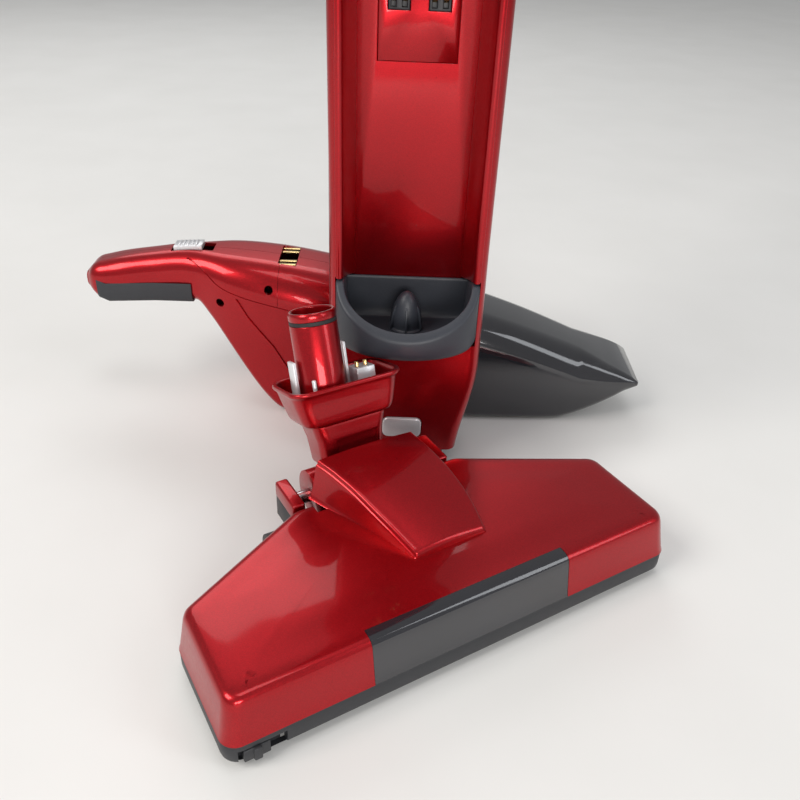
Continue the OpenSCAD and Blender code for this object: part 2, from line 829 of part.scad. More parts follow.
// Half of the case as a closed C: side = 1 is the far half, side = -1 the near half
function case_half_ring(x, side) = let (
  o = case_ring_pts(x, 0),
  q = case_ring_pts(x, wall),
  n = len(o) / 2,
  s = side > 0 ? 0 : n,
  y = side * gap / 2,
  a = [for (i = [0:n - 1]) o[i + s]],
  b = [for (i = [n - 1:-1:0]) q[i + s]]
) concat([[y, a[0][1]]], a, [[y, a[n - 1][1]]], [[y, b[0][1]]], b, [[y, b[n - 1][1]]]);

module case_half(side) {
  in_hand() skin([for (x = case_xs) stand(case_half_ring(x, side), x)]);
}

screw_spots = [[-95, 99], [-130.6, 85], [-91, 23]];
switch_x = -152;

module case_near() {
  color(red) difference() {
    case_half(-1);
    case_cuts();
  }
}

module case_far() {
  color(red) difference() {
    case_half(1);
    case_cuts();
  }
}

module case_cuts() {
  in_hand() {
    block([30, 13, 20], [switch_x, 0, 118]);
    for (p = screw_spots) translate([p[0], -60, p[1]]) rotate([-90, 0, 0]) cylinder(r = 3, h = 40);
    block([12.6, 31.6, 16], [-84, 0, 114]);
  }
}

module case_ring() {
  color(dark_red) in_hand() difference() {
    skin([for (x = [split_x - 3.7, split_x - 0.3]) stand(case_ring_pts(x, 0.2), x)]);
    skin([for (x = [split_x - 5, split_x + 1]) stand(case_ring_pts(x, wall), x)]);
  }
}

module hand_grip_pad() {
  color(grey) in_hand() difference() {
    skin([for (x = [-221, -214, -198, -180, -165, -152])
      let (h = lookup(x, case_hw) + 0.8, a = lookup(x, case_low)) stand(concat(
        [[-h, a + 15]],
        arc_pts(-h + 6, a + 5.2, 6, 180, 270, 4),
        arc_pts(h - 6, a + 5.2, 6, 270, 360, 4),
        [[h, a + 15]]
      ), x)]);
    skin([for (x = [-230, -228, -224, -214, -198, -180, -165, -150, -146])
      stand(case_ring_pts(x, -0.02), x)]);
  }
}

module hand_switch() {
  color(silver) in_hand() translate([switch_x - 3, 0, 115.9]) rotate([0, -4, 0]) {
    block([20, 11.6, 3.4], [0, 0, 0]);
    for (x = [-6:3:6]) block([1.1, 9, 1.2], [x, 0, 2]);
  }
}

cup_hw_at = [[split_x, hand_hw], [60, hand_hw - 0.5], [120, hand_hw - 3], [160, hand_hw - 6],
             [175, hand_hw - 10]];
cup_low = [[split_x, 0], [118, 0], [124, 2], [170, 25.5], [175, 28.5]];
cup_high = [[split_x, 92], [30, 87], [60, 78.5], [90, 68.5], [120, 57], [150, 44.5], [170, 35.5], [175, 32]];
cup_xs = [split_x, 30, 60, 90, 118, 124, 140, 155, 165, 170, 173, 175];

function cup_ring_pts(x, inset) = let (
  h = lookup(x, cup_hw_at) - inset,
  a = lookup(x, cup_low) + inset,
  b = max(lookup(x, cup_high) - inset, a + 0.5),
  r = min(22, (b - a) * 0.45, h - 0.5),
  q = min(7, (b - a) * 0.45)
) concat(
  arc_pts(h - q, a + q, q, 270, 360, 6),
  arc_pts(h - r, b - r, r, 0, 90, 6),
  arc_pts(-h + r, b - r, r, 90, 180, 6),
  arc_pts(-h + q, a + q, q, 180, 270, 6)
);

module dust_cup() {
  color(smoke) in_hand() difference() {
    skin([for (x = cup_xs) stand(cup_ring_pts(x, 0), x)]);
    skin([for (x = [split_x - 1, 30, 60, 90, 118, 124, 140, 155, 165]) stand(cup_ring_pts(x, 2.4), x)]);
    translate([146, 0, 13]) rotate([0, -26.5, 0]) block([44, 52, 12], [0, 0, 0]);
    block([11, 15, 7], [14, 0, 90]);
  }
}

module cup_catch() {
  color(smoke) in_hand() translate([14, 0, 89.3]) rotate([0, 11, 0]) {
    block([9, 14, 3], [0, 0, 0]);
  }
}

module cup_filter() {
  color("white") in_hand() difference() {
    union() {
      skin([for (x = [8, 50]) stand(cup_ring_pts(x, 8 + (x - 8) * 0.1), x)]);
      skin([for (x = [6, 8]) stand(cup_ring_pts(x, 3), x)]);
    }
    skin([for (x = [5, 46]) stand(cup_ring_pts(x, 14 + (x - 5) * 0.1), x)]);
  }
}

module fan_motor() {
  color(silver) in_hand() translate([-60, 0, 52]) rotate([0, 90, 0]) {
    cylinder(r = 17, h = 34);
    translate([0, 0, -2]) cylinder(r = 6, h = 4);
    translate([0, 0, 30]) cylinder(r = 2, h = 12);
  }
}

module fan_wheel() {
  color(black) in_hand() translate([-24, 0, 52]) rotate([0, 90, 0]) difference() {
    union() {
      cylinder(r = 26, h = 1.6);
      cylinder(r = 6, h = 13);
      for (a = [0:30:330]) rotate([0, 0, a]) block([21, 1.2, 11.2], [15, 0, 6.8]);
    }
    translate([0, 0, -1]) cylinder(r = 2.05, h = 20);
  }
}

module battery_cells() {
  color("steelblue") in_hand() {
    for (z = [32, 55]) for (y = [-11.6, 11.6]) translate([-103, y, z]) rotate([0, 90, 0])
      cylinder(r = 10, h = 40);
  }
}

// Flat charging pads on the unit's back that meet the body's springs
module charge_pads() {
  color(brass) in_hand() for (y = [-14, -8, 8, 14]) block([12, 3, 1.4], [-84, y, 110]);
}

front_casing();
rear_casing();
side_trim();
foot_plate();
bay_liner();
bay_panel();
contact_plate();
contact_blocks();
contact_springs();
dock_cup();
cup_cone();
socket_sleeve();
socket_seal();
air_duct();
connector_socket();
release_button();
release_spring();
dock_latch();
grip_loop();
grip_pad();
power_slider();
body_screws();
head_cover();
head_base();
window_lens();
led_board();
hood_cover();
brush_core();
brush_bristles();
brush_bearings();
brush_motor();
motor_pulley();
drive_belt();
rear_wheel_left();
rear_wheel_right();
wheel_axles();
front_rollers();
toe_latch();
barrel_pins();
head_screws();
pivot_barrel();
neck_yoke();
neck_tray();
neck_tube();
tube_seal();
connector_block();
connector_pins();
guide_ribs();
case_near();
case_far();
case_ring();
hand_grip_pad();
hand_switch();
dust_cup();
cup_catch();
cup_filter();
fan_motor();
fan_wheel();
battery_cells();
charge_pads();
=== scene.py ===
# %% [markdown]
# # A cordless upright cleaner, taken apart
# The real object is three moulded units: a tall body with an empty bay, a floor head with a
# short neck, and a hand unit with a see-through dust cup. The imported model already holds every
# working part in its true place, so this lesson loads it as a fixed frame and then builds the
# finished surfaces round it: lacquered shells, matt mouldings, smoky lenses and bright contacts.

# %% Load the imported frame
import json
import math
import bpy
import bmesh
import numpy as np
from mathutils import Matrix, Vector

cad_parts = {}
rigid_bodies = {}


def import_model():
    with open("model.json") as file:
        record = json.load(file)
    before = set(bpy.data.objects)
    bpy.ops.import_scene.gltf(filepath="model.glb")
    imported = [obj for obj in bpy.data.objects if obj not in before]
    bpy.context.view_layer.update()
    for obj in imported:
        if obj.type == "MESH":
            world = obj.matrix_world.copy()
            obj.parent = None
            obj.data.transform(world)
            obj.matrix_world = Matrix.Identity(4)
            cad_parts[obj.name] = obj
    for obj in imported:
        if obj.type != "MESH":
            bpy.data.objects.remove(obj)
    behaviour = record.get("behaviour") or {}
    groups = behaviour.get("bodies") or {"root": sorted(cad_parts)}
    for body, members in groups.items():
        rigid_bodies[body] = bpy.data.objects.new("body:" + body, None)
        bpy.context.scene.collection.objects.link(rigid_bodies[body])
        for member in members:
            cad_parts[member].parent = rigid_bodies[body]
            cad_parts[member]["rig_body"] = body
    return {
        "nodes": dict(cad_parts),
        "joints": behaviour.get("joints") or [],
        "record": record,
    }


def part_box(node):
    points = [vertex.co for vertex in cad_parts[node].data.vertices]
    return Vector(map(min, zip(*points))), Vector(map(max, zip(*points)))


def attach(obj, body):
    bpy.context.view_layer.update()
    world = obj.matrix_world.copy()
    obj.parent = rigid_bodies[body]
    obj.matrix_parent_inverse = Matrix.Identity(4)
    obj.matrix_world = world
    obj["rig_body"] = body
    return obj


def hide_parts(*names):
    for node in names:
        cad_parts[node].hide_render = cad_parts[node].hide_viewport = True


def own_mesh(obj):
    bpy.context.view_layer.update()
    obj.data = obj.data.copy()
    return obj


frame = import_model()
nodes = frame["nodes"]
joints = {j["name"]: j for j in frame["joints"]}
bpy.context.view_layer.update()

# %% [markdown]
# ## Where the units stand
# Each unit has its own simple directions: the head is turned, the neck leans, the hand unit lies
# along X. They could be typed in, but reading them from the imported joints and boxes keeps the
# pieces in step with the frame. All sizes below are in millimetres, and one function per unit
# turns them into the shared frame in metres.

# %% Frames of the four units
def vec(values):
    return np.array(values, float)

BODY_O = vec([sum(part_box("front_casing")[i][0] for i in (0, 1)) / 2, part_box("rear_casing")[0][1] - 0.00015, 0])
HEAD_U = vec(joints["spin_brush"]["axis"])
HEAD_V = np.cross([0, 0, 1], HEAD_U)
HEAD_O = vec(joints["spin_brush"]["pos_m"]) - 0.022 * HEAD_V - vec([0, 0, 0.0175])
NECK_S = vec(joints["neck_swivel"]["axis"])
NECK_Y = np.cross(NECK_S, HEAD_U)
NECK_O = vec(joints["neck_swivel"]["pos_m"])
HAND_O = vec([BODY_O[0], joints["spin_fan"]["pos_m"][1], 0])

def placed(origin, x_dir, y_dir, z_dir):
    """Point = origin + x * x_dir + y * y_dir + z * z_dir, from millimetres to metres."""
    axes = np.array([x_dir, y_dir, z_dir], float)
    return lambda p: origin + (np.asarray(p, float) * 0.001) @ axes

X, Y, Z = np.eye(3)
in_body = placed(BODY_O, X, Y, Z)
in_head = placed(HEAD_O, HEAD_U, HEAD_V, Z)
in_neck = placed(NECK_O, HEAD_U, NECK_Y, NECK_S)
in_hand = placed(HAND_O, X, Y, Z)
print("body", BODY_O.round(4), "head", HEAD_O.round(4), "neck", NECK_O.round(4), "hand", HAND_O.round(4))

# %% [markdown]
# ## Shader maths as sums
# A finish is a small calculation: grain plus wear, a tint times a mask. Written as separate nodes
# it is hard to read, so one class wraps a socket and lets Python's own signs add the Math nodes.
# Colours go through Mix nodes, because a Math node would turn them grey.

# %% A socket that can be added and multiplied
class Sock:
    """A node's output socket, or a number, that can be used in a Python expression."""

    def __init__(self, tree, socket):
        self.tree, self.socket = tree, socket

    def _math(self, operation, a, b):
        return build(self.tree, "ShaderNodeMath", {"operation": operation}, {0: a, 1: b})

    def __add__(self, other): return self._math("ADD", self, other)
    def __radd__(self, other): return self._math("ADD", other, self)
    def __sub__(self, other): return self._math("SUBTRACT", self, other)
    def __rsub__(self, other): return self._math("SUBTRACT", other, self)
    def __mul__(self, other): return self._math("MULTIPLY", self, other)
    def __rmul__(self, other): return self._math("MULTIPLY", other, self)
    def __truediv__(self, other): return self._math("DIVIDE", self, other)
    def __pow__(self, other): return self._math("POWER", self, other)

    def clamp(self, low, high):
        return build(self.tree, "ShaderNodeClamp", {}, {0: self, 1: low, 2: high})


def build(tree, kind, settings, values, out=0):
    """Adds one node: its settings first, then a value or a link for each named socket."""
    node = tree.nodes.new(kind)
    for key, value in settings.items():
        setattr(node, key, value)
    for key, value in values.items():
        socket = node.inputs[key]
        if isinstance(value, Sock):
            tree.links.new(value.socket, socket)
        else:
            socket.default_value = value
    return Sock(tree, node.outputs[out])


class Finish:
    """A material with one Principled shader, and short names for the patterns it is made of."""

    def __init__(self, name):
        self.material = bpy.data.materials.new(name)
        self.material.use_nodes = True
        self.tree = self.material.node_tree
        self.shader = self.tree.nodes["Principled BSDF"]
        self.place = build(self.tree, "ShaderNodeTexCoord", {}, {}, out=3)

    def node(self, kind, settings, values, out=0):
        return build(self.tree, kind, settings, values, out)

    def stretched(self, x, y, z):
        """The place on the object, scaled differently along each axis."""
        return self.node("ShaderNodeMapping", {}, {"Vector": self.place, "Scale": (x, y, z)})

    def noise(self, scale, detail=2.0, rough=0.5, at=None):
        """Soft random field from about 0.3 to 0.7; scale is in patches per metre."""
        return self.node("ShaderNodeTexNoise", {}, {"Vector": at or self.place, "Scale": scale,
                                                    "Detail": detail, "Roughness": rough})

    def cells(self, scale, out=0):
        """Distance to the nearest of many random points, for flakes and leather-like grain."""
        return self.node("ShaderNodeTexVoronoi", {}, {"Vector": self.place, "Scale": scale}, out)

    def blend(self, share, a, b):
        """Colour a where share is 0, colour b where it is 1."""
        return self.node("ShaderNodeMix", {"data_type": "RGBA"}, {0: share, 6: a, 7: b}, out=2)

    def bump(self, height, depth_mm, strength=1.0):
        """Normal that follows a height field; depth_mm is the height of 1."""
        return self.node("ShaderNodeBump", {}, {"Height": height, "Distance": depth_mm * 0.001,
                                                "Strength": strength})

    def set(self, **values):
        """Feeds the Principled shader: Base_Color stands for its socket named Base Color."""
        for key, value in values.items():
            socket = self.shader.inputs[key.replace("_", " ")]
            if isinstance(value, Sock):
                self.tree.links.new(value.socket, socket)
            else:
                socket.default_value = value
        return self


def rgb(r, g, b):
    return (r, g, b, 1.0)

# %% [markdown]
# ## The finishes
# The shells are sprayed with a candy red: a metallic base with fine flakes under clear lacquer.
# A plain red with gloss looks like toy plastic, so the flakes vary the colour and tilt the
# reflection slightly, and a clear coat of its own carries the sharp highlight. The other parts
# are moulded plastics with grain, and each gets its own scale of grain and its own wear.

# %% Candy red lacquer
def lacquer(name, deep, bright, rough=0.3):
    f = Finish(name)
    flakes = f.cells(2600, out=1)
    tone = f.node("ShaderNodeSeparateColor", {}, {0: flakes})
    cloud = f.noise(14, 3)
    haze = f.noise(420, 2)
    colour = f.blend((tone * 0.45 + cloud * 0.55).clamp(0.0, 1.0), deep, bright)
    f.set(Base_Color=colour, Metallic=0.82, Roughness=rough + (haze - 0.5) * 0.12 + tone * 0.04,
          Coat_Weight=(0.42 + (cloud - 0.5) * 0.15).clamp(0.0, 1.0), Coat_Roughness=0.05, Coat_IOR=1.5,
          Normal=f.bump(tone * 0.6 + f.noise(900, 1) * 0.4, 0.006, 0.5))
    return f.material

FINISH = {}
FINISH["metallic_red"] = lacquer("candy_red_lacquer", rgb(0.27, 0.002, 0.006), rgb(0.50, 0.005, 0.011))
# Brighter copy of the same candy red, used on the bay panel and contact plate: painted light, the panel drawn as
# if lit more strongly than the bay walls, not a different paint.
FINISH["panel_red"] = lacquer("painted_lit_red_lacquer", rgb(0.56, 0.006, 0.010), rgb(0.80, 0.020, 0.018), 0.34)
FINISH["dark_trim"] = lacquer("dark_red_trim", rgb(0.10, 0.002, 0.006), rgb(0.20, 0.005, 0.010), 0.34)

# %% Moulded plastics: matt black, satin grey and soft grip
def moulded(name, dark, light, rough, grain, depth, coat=0.0, worn=0.06):
    f = Finish(name)
    pebbles = f.cells(grain)
    drift = f.noise(22, 4)
    rub = f.noise(180, 3)
    colour = f.blend((drift * 0.7 + pebbles * 0.3).clamp(0.0, 1.0), dark, light)
    f.set(Base_Color=colour, Roughness=(rough + (rub - 0.5) * 2 * worn + pebbles * 0.05).clamp(0.05, 1.0),
          Coat_Weight=coat, Normal=f.bump(pebbles + f.noise(grain * 0.5, 2), depth, 0.6))
    return f.material

FINISH["black_plastic"] = moulded("matt_black_moulding", rgb(0.010, 0.0105, 0.013), rgb(0.028, 0.029, 0.034),
                                  0.44, 1500, 0.03)
FINISH["grey_plastic"] = moulded("satin_grey_moulding", rgb(0.020, 0.023, 0.031), rgb(0.042, 0.047, 0.060),
                                 0.42, 1900, 0.025)
FINISH["soft_grip"] = moulded("soft_touch_grip", rgb(0.022, 0.023, 0.027), rgb(0.045, 0.047, 0.053), 0.72, 1100,
                              0.05)
FINISH["seal_rubber"] = moulded("seal_rubber", rgb(0.008, 0.008, 0.009), rgb(0.020, 0.020, 0.021), 0.62, 900,
                                0.03)

# %% Smoky clear plastic and silver lacquer
def smoky(name, tint, alpha, rough):
    f = Finish(name)
    swirl = f.noise(30, 3)
    scuffs = f.noise(260, 4, 0.65, f.stretched(1, 3, 3))
    f.set(Base_Color=f.blend(swirl, tint, rgb(tint[0] * 1.8, tint[1] * 1.8, tint[2] * 2.0)),
          Roughness=(rough + (scuffs - 0.5) * 0.10).clamp(0.02, 1.0), Coat_Weight=1.0, Coat_Roughness=0.03,
          Alpha=(alpha + (swirl - 0.5) * 0.05).clamp(0.0, 1.0), Normal=f.bump(f.noise(60, 2), 0.02, 0.3))
    return f.material

FINISH["smoked_lens"] = smoky("smoky_clear_plastic", rgb(0.012, 0.012, 0.014), 0.93, 0.10)

def silvered(name, dark, light, metallic, rough):
    f = Finish(name)
    flakes = f.cells(3000, out=1)
    tone = f.node("ShaderNodeSeparateColor", {}, {0: flakes})
    f.set(Base_Color=f.blend((tone * 0.5 + f.noise(40, 3) * 0.5).clamp(0.0, 1.0), dark, light),
          Metallic=metallic,
          Roughness=rough + (f.noise(300, 2) - 0.5) * 0.08, Coat_Weight=0.4,
          Normal=f.bump(f.noise(900, 2), 0.002, 0.2))
    return f.material

FINISH["silver_plastic"] = silvered("silver_lacquer", rgb(0.66, 0.67, 0.69), rgb(0.76, 0.77, 0.79), 0.35, 0.30)

# %% Bright metals with drawn or turned marks
def drawn_metal(name, dark, light, rough):
    f = Finish(name)
    marks = f.noise(260, 5, 0.7, f.stretched(0.6, 6, 6))
    f.set(Base_Color=f.blend(marks, dark, light), Metallic=1.0,
          Roughness=(rough + (marks - 0.5) * 0.25).clamp(0.05, 1.0),
          Normal=f.bump(marks, 0.01, 0.3))
    return f.material

FINISH["steel"] = drawn_metal("bright_steel", rgb(0.42, 0.43, 0.44), rgb(0.70, 0.71, 0.72), 0.28)
FINISH["brass_contact"] = drawn_metal("contact_brass", rgb(0.62, 0.42, 0.16), rgb(0.90, 0.68, 0.34), 0.22)

# %% Inner finishes: bristle, board, filter cloth and cell wrap
def banded(name, dark, light, rough, bands, depth, stretch=(1, 1, 1), metallic=0.0):
    """Stripes across the piece, broken up by noise: pleats, hairs, tracks and printed wrap."""
    f = Finish(name)
    stripes = f.node("ShaderNodeTexWave", {"bands_direction": "DIAGONAL"},
                     {"Vector": f.stretched(*stretch), "Scale": bands, "Distortion": 1.5, "Detail": 2.0})
    level = stripes * 0.6 + f.noise(200, 3) * 0.4
    f.set(Base_Color=f.blend(level.clamp(0.0, 1.0), dark, light), Metallic=metallic,
          Roughness=(rough + (f.noise(150, 2) - 0.5) * 0.15).clamp(0.05, 1.0), Normal=f.bump(level, depth, 0.6))
    return f.material

FINISH["bristle"] = banded("nylon_bristle", rgb(0.012, 0.012, 0.013), rgb(0.05, 0.05, 0.052), 0.5, 300, 0.05)
FINISH["board"] = banded("circuit_board", rgb(0.006, 0.06, 0.02), rgb(0.03, 0.16, 0.06), 0.4, 120, 0.02)
FINISH["filter_cloth"] = banded("pleated_filter_cloth", rgb(0.60, 0.59, 0.55), rgb(0.84, 0.83, 0.80), 0.85, 60,
                                0.3, (0.2, 1, 1))
FINISH["cell_wrap"] = banded("cell_shrink_wrap", rgb(0.03, 0.09, 0.22), rgb(0.06, 0.16, 0.34), 0.3, 25, 0.02)
print("finishes", len(FINISH))

# %% [markdown]
# ## Dress the imported parts
# Every imported part first takes the finish of its own material slot, so nothing is ever left
# plain, except the bay panel and contact plate: they take a brighter copy of the red lacquer, which
# is painted light. Later cells hide the parts that get a better shell of their own.

# %% One finish for each imported part
SLOT_OF = {s["node"]: s["material_slot"] for s in frame["record"]["subparts"]}
# The bay panel and contact plate take the brighter copy of the red lacquer: painted light, not a paint of their
# own.
PAINTED_LIT_RED_PARTS = {"bay_panel", "contact_plate"}
for name, part in nodes.items():
    part.data.materials.clear()
    part.data.materials.append(FINISH["panel_red" if name in PAINTED_LIT_RED_PARTS else SLOT_OF[name]])
print("dressed", len(nodes))
# %% [markdown]
# ## Light, floor and camera
# Lacquer shows its shape only through what it mirrors. One hard lamp would leave a dot on it, so
# broad soft panels are used: a large one high on the left, a long one at the right, and one
# behind for the edges. The floor is plain and pale, and its sheen is low, so that it lights the
# undersides softly.

# %% Soft panels and a pale floor
def soft_panel(name, at, look_at, size, power, tint=(1.0, 1.0, 1.0)):
    lamp = bpy.data.lights.new(name, "AREA")
    lamp.shape, lamp.size, lamp.size_y, lamp.energy, lamp.color = "RECTANGLE", size[0], size[1], power, tint
    thing = bpy.data.objects.new(name, lamp)
    bpy.context.scene.collection.objects.link(thing)
    thing.location = at
    back = vec(at) - vec(look_at)
    thing.rotation_euler = (math.acos(back[2] / np.linalg.norm(back)), 0,
                            math.atan2(back[1], back[0]) + math.pi / 2)
    return thing

soft_panel("key_panel", (-1.5, -0.9, 1.7), (0.0, -0.05, 0.15), (1.1, 0.9), 27, (1.0, 0.965, 0.92))
soft_panel("side_panel", (1.5, -0.7, 1.1), (0.0, 0.0, 0.25), (0.45, 1.3), 6, (0.93, 0.96, 1.0))
soft_panel("back_panel", (-0.5, 1.5, 1.5), (0.0, 0.0, 0.3), (1.6, 0.8), 9)
soft_panel("top_panel", (0.1, -0.2, 2.4), (0.0, -0.1, 0.0), (0.8, 0.8), 6)
soft_panel("front_panel", (0.25, -1.7, 0.55), (0.0, 0.0, 0.1), (0.9, 0.4), 13, (1.0, 0.97, 0.94))

world = bpy.data.worlds.new("pale_room")
bpy.context.scene.world = world
world.use_nodes = True
world.node_tree.nodes["Background"].inputs["Color"].default_value = rgb(0.84, 0.85, 0.86)
world.node_tree.nodes["Background"].inputs["Strength"].default_value = 0.44

floor_cover = Finish("pale_floor")
weave = floor_cover.noise(9, 5)
floor_cover.set(Base_Color=floor_cover.blend(weave, rgb(0.76, 0.755, 0.735), rgb(0.83, 0.825, 0.81)),
                Roughness=0.8 + (floor_cover.noise(300, 2) - 0.5) * 0.1)
floor_mesh = bpy.data.meshes.new("pale_floor")
floor_mesh.from_pydata([(-6, -6, 0), (6, -6, 0), (6, 6, 0), (-6, 6, 0)], [], [(0, 1, 2, 3)])
floor_mesh.materials.append(floor_cover.material)
floor_piece = bpy.data.objects.new("pale_floor", floor_mesh)
bpy.context.scene.collection.objects.link(floor_piece)
floor_piece.location = (0, 0, -0.0004)

# %% The camera
PITCH, ROLL, YAW = math.radians(33.37), math.radians(2.48), math.radians(0.63)
forward = vec([math.sin(YAW) * math.cos(PITCH), math.cos(YAW) * math.cos(PITCH), -math.sin(PITCH)])
level_right = vec([math.cos(YAW), -math.sin(YAW), 0])
level_up = np.cross(level_right, forward)
right = math.cos(ROLL) * level_right + math.sin(ROLL) * level_up
up = -math.sin(ROLL) * level_right + math.cos(ROLL) * level_up
SENSOR_WIDTH, FOCAL_LENGTH, NEAREST = 36.0, 36.774, 0.02
CAMERA_PLACE = (0.00225, -0.4725, 0.3489)
lens = bpy.data.cameras.new("main_camera")
lens.sensor_width, lens.lens, lens.clip_start = SENSOR_WIDTH, FOCAL_LENGTH, NEAREST
camera = bpy.data.objects.new("main_camera", lens)
bpy.context.scene.collection.objects.link(camera)
from mathutils import Matrix
camera_axes = np.array([right, up, -forward]).T.tolist()
camera_rows = [[*row, at] for row, at in zip(camera_axes, CAMERA_PLACE)]
camera.matrix_world = Matrix(camera_rows + [[0, 0, 0, 1]])
bpy.context.scene.camera = camera
bpy.context.scene.view_settings.view_transform = "Standard"
print("lens", round(lens.lens, 2))

# %% [markdown]
# ## Surfaces from arrays
# The shells are smooth mouldings, so each is worked out as a grid of points: one direction runs
# round or along the part, the other across it. Whole arrays are computed at once, turned into
# quads, and given a wall by Solidify where the real moulding is hollow. Small hard parts keep
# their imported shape, but as a copy whose edges are rounded a little, because a real moulded edge
# always catches a thin line of light.

# %% Grids, lofts and pieces
def grid_quads(rows, cols, wrap_rows=False, wrap_cols=False):
    """Index of four corners for every cell of a rows by cols grid; wrapping closes a direction."""
    i, j = np.meshgrid(np.arange(rows - (not wrap_rows)), np.arange(cols - (not wrap_cols)), indexing="ij")
    a, b = (i + 1) % rows, (j + 1) % cols
    return np.stack([i * cols + j, a * cols + j, a * cols + b, i * cols + b], -1).reshape(-1, 4)


def curve_at(table, x):
    """Smooth curve through (x, y) pairs: cubic between them, with each slope the mean of its neighbours."""
    t = np.array(table, float)
    xs, ys = t[:, 0], t[:, 1]
    steps = np.diff(ys) / np.diff(xs)
    slopes = np.concatenate([[steps[0]], np.where(steps[:-1] * steps[1:] > 0, (steps[:-1] + steps[1:]) / 2, 0),
                             [steps[-1]]])
    x = np.clip(np.asarray(x, float), xs[0], xs[-1])
    k = np.clip(np.searchsorted(xs, x, side="right") - 1, 0, len(xs) - 2)
    h = xs[k + 1] - xs[k]
    u = (x - xs[k]) / h
    return (ys[k] * (1 + 2 * u) * (1 - u) ** 2 + ys[k + 1] * u ** 2 * (3 - 2 * u)
            + h * (slopes[k] * u * (1 - u) ** 2 + slopes[k + 1] * u ** 2 * (u - 1)))


def corners(cx, cy, r, start, end, k):
    """Points on an arc: centre plus radius times (cos, sin) of evenly spaced degrees; centres may be arrays."""
    a = np.radians(np.linspace(start, end, k + 1))
    col = lambda v: np.asarray(v, float).reshape(-1, 1)
    return np.stack([col(cx) + col(r) * np.cos(a), col(cy) + col(r) * np.sin(a)], -1)


def rounded_ring(hx, y0, y1, rf, rb, k=10):
    """Rounded rectangle from -hx to hx and y0 to y1: four arcs, radius rf in front and rb behind."""
    hx, y0, y1, rf, rb = (np.atleast_1d(np.asarray(v, float)) for v in (hx, y0, y1, rf, rb))
    return np.concatenate([corners(-hx + rf, y0 + rf, rf, 180, 270, k),
                           corners(hx - rf, y0 + rf, rf, 270, 360, k),
                           corners(hx - rb, y1 - rb, rb, 0, 90, k), corners(-hx + rb, y1 - rb, rb, 90, 180, k)],
                           axis=1)


def stacked(flat, heights):
    """Adds a third coordinate to rows of flat points: one height for each row, or a full array."""
    h = np.broadcast_to(np.asarray(heights, float).reshape(len(flat), -1), flat.shape[:2])
    return np.dstack([flat[..., 0], flat[..., 1], h])


def wear(thing, finish, body, stands_for=()):
    """Links a piece, gives it its finish, and makes it ride on its body."""
    if thing.name not in bpy.context.scene.collection.objects:
        bpy.context.scene.collection.objects.link(thing)
    thing.data.materials.clear()
    thing.data.materials.append(FINISH[finish])
    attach(thing, body)
    if stands_for:
        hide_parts(*stands_for)
    return thing


def solid(name, points, quads, caps=()):
    """Mesh object from points in metres; normals are made consistent, and caps close open ends."""
    mesh = bpy.data.meshes.new(name)
    faces = quads.tolist() + [list(map(int, c)) for c in caps]
    mesh.from_pydata(np.asarray(points, float).reshape(-1, 3).tolist(), [], faces)
    bm = bmesh.new()
    bm.from_mesh(mesh)
    bmesh.ops.remove_doubles(bm, verts=bm.verts, dist=2e-6)
    bmesh.ops.recalc_face_normals(bm, faces=bm.faces)
    bm.to_mesh(mesh)
    bm.free()
    mesh.update()
    return bpy.data.objects.new(name, mesh)


def loft(name, rings, to_row, closed=False):
    """Skin through rings (rings, points, 3), closed round each ring, with flat caps unless the path closes."""
    m, n = rings.shape[:2]
    caps = () if closed else (range(n), range((m - 1) * n, m * n))
    return solid(name, to_row(rings), grid_quads(m, n, closed, True), caps)


def turned(name, profile, to_row, n=72):
    """Profile points (r, z) turned round the z axis: (r cos a, r sin a, z)."""
    p, a = np.array(profile, float), np.linspace(0, 2 * np.pi, n, endpoint=False)
    rings = np.stack([p[:, :1] * np.cos(a), p[:, :1] * np.sin(a), np.repeat(p[:, 1:], n, 1)], -1)
    return loft(name, rings, to_row)


def carried(name, path, profile, closed=False):
    """Profile (a, b) carried along a path in metres: path + a * side + b * up, side level or given by the turn."""
    p = np.asarray(path, float)
    ahead = np.roll(p, -1, 0) - np.roll(p, 1, 0)
    if not closed:
        ahead[0], ahead[-1] = p[1] - p[0], p[-1] - p[-2]
    ahead /= np.linalg.norm(ahead, axis=1, keepdims=True)
    flat = np.linalg.svd(p - p.mean(0))[2][2]
    side = np.cross(ahead, flat)
    side /= np.linalg.norm(side, axis=1, keepdims=True)
    q = np.array(profile, float) * 0.001
    rings = p[:, None] + side[:, None] * q[None, :, :1] + flat[None, None] * q[None, :, 1:]
    return loft(name, rings, lambda r: r, closed)


def baked(thing):
    """The same object with its modifiers worked into its mesh."""
    if thing.name not in bpy.context.scene.collection.objects:
        bpy.context.scene.collection.objects.link(thing)
    bpy.context.view_layer.update()
    made = bpy.data.meshes.new_from_object(thing.evaluated_get(bpy.context.evaluated_depsgraph_get()))
    thing.modifiers.clear()
    thing.data = made
    return thing


def walled(thing, mm, outward=False):
    """Gives an open skin a wall on its inner side."""
    wall = thing.modifiers.new("wall", "SOLIDIFY")
    wall.thickness, wall.offset, wall.use_even_offset = mm * 0.001, 1.0 if outward else -1.0, False
    return baked(thing)


def cut_away(thing, *cutters):
    """Boolean difference with each cutter, which is then thrown away."""
    for cutter in cutters:
        if cutter.name not in bpy.context.scene.collection.objects:
            bpy.context.scene.collection.objects.link(cutter)
        step = thing.modifiers.new("cut", "BOOLEAN")
        step.operation, step.solver, step.object = "DIFFERENCE", "EXACT", cutter
    baked(thing)
    for cutter in cutters:
        bpy.data.objects.remove(cutter)
    return thing


def prism(name, outline, low, high, to_row, order=(0, 1, 2)):
    """Straight prism on a flat outline; order says which axes the outline and the height use."""
    o = np.array(outline, float)
    rings = np.stack([stacked(o[None], [h])[0] for h in (low, high)])
    return loft(name, rings[..., list(np.argsort(order))], to_row)


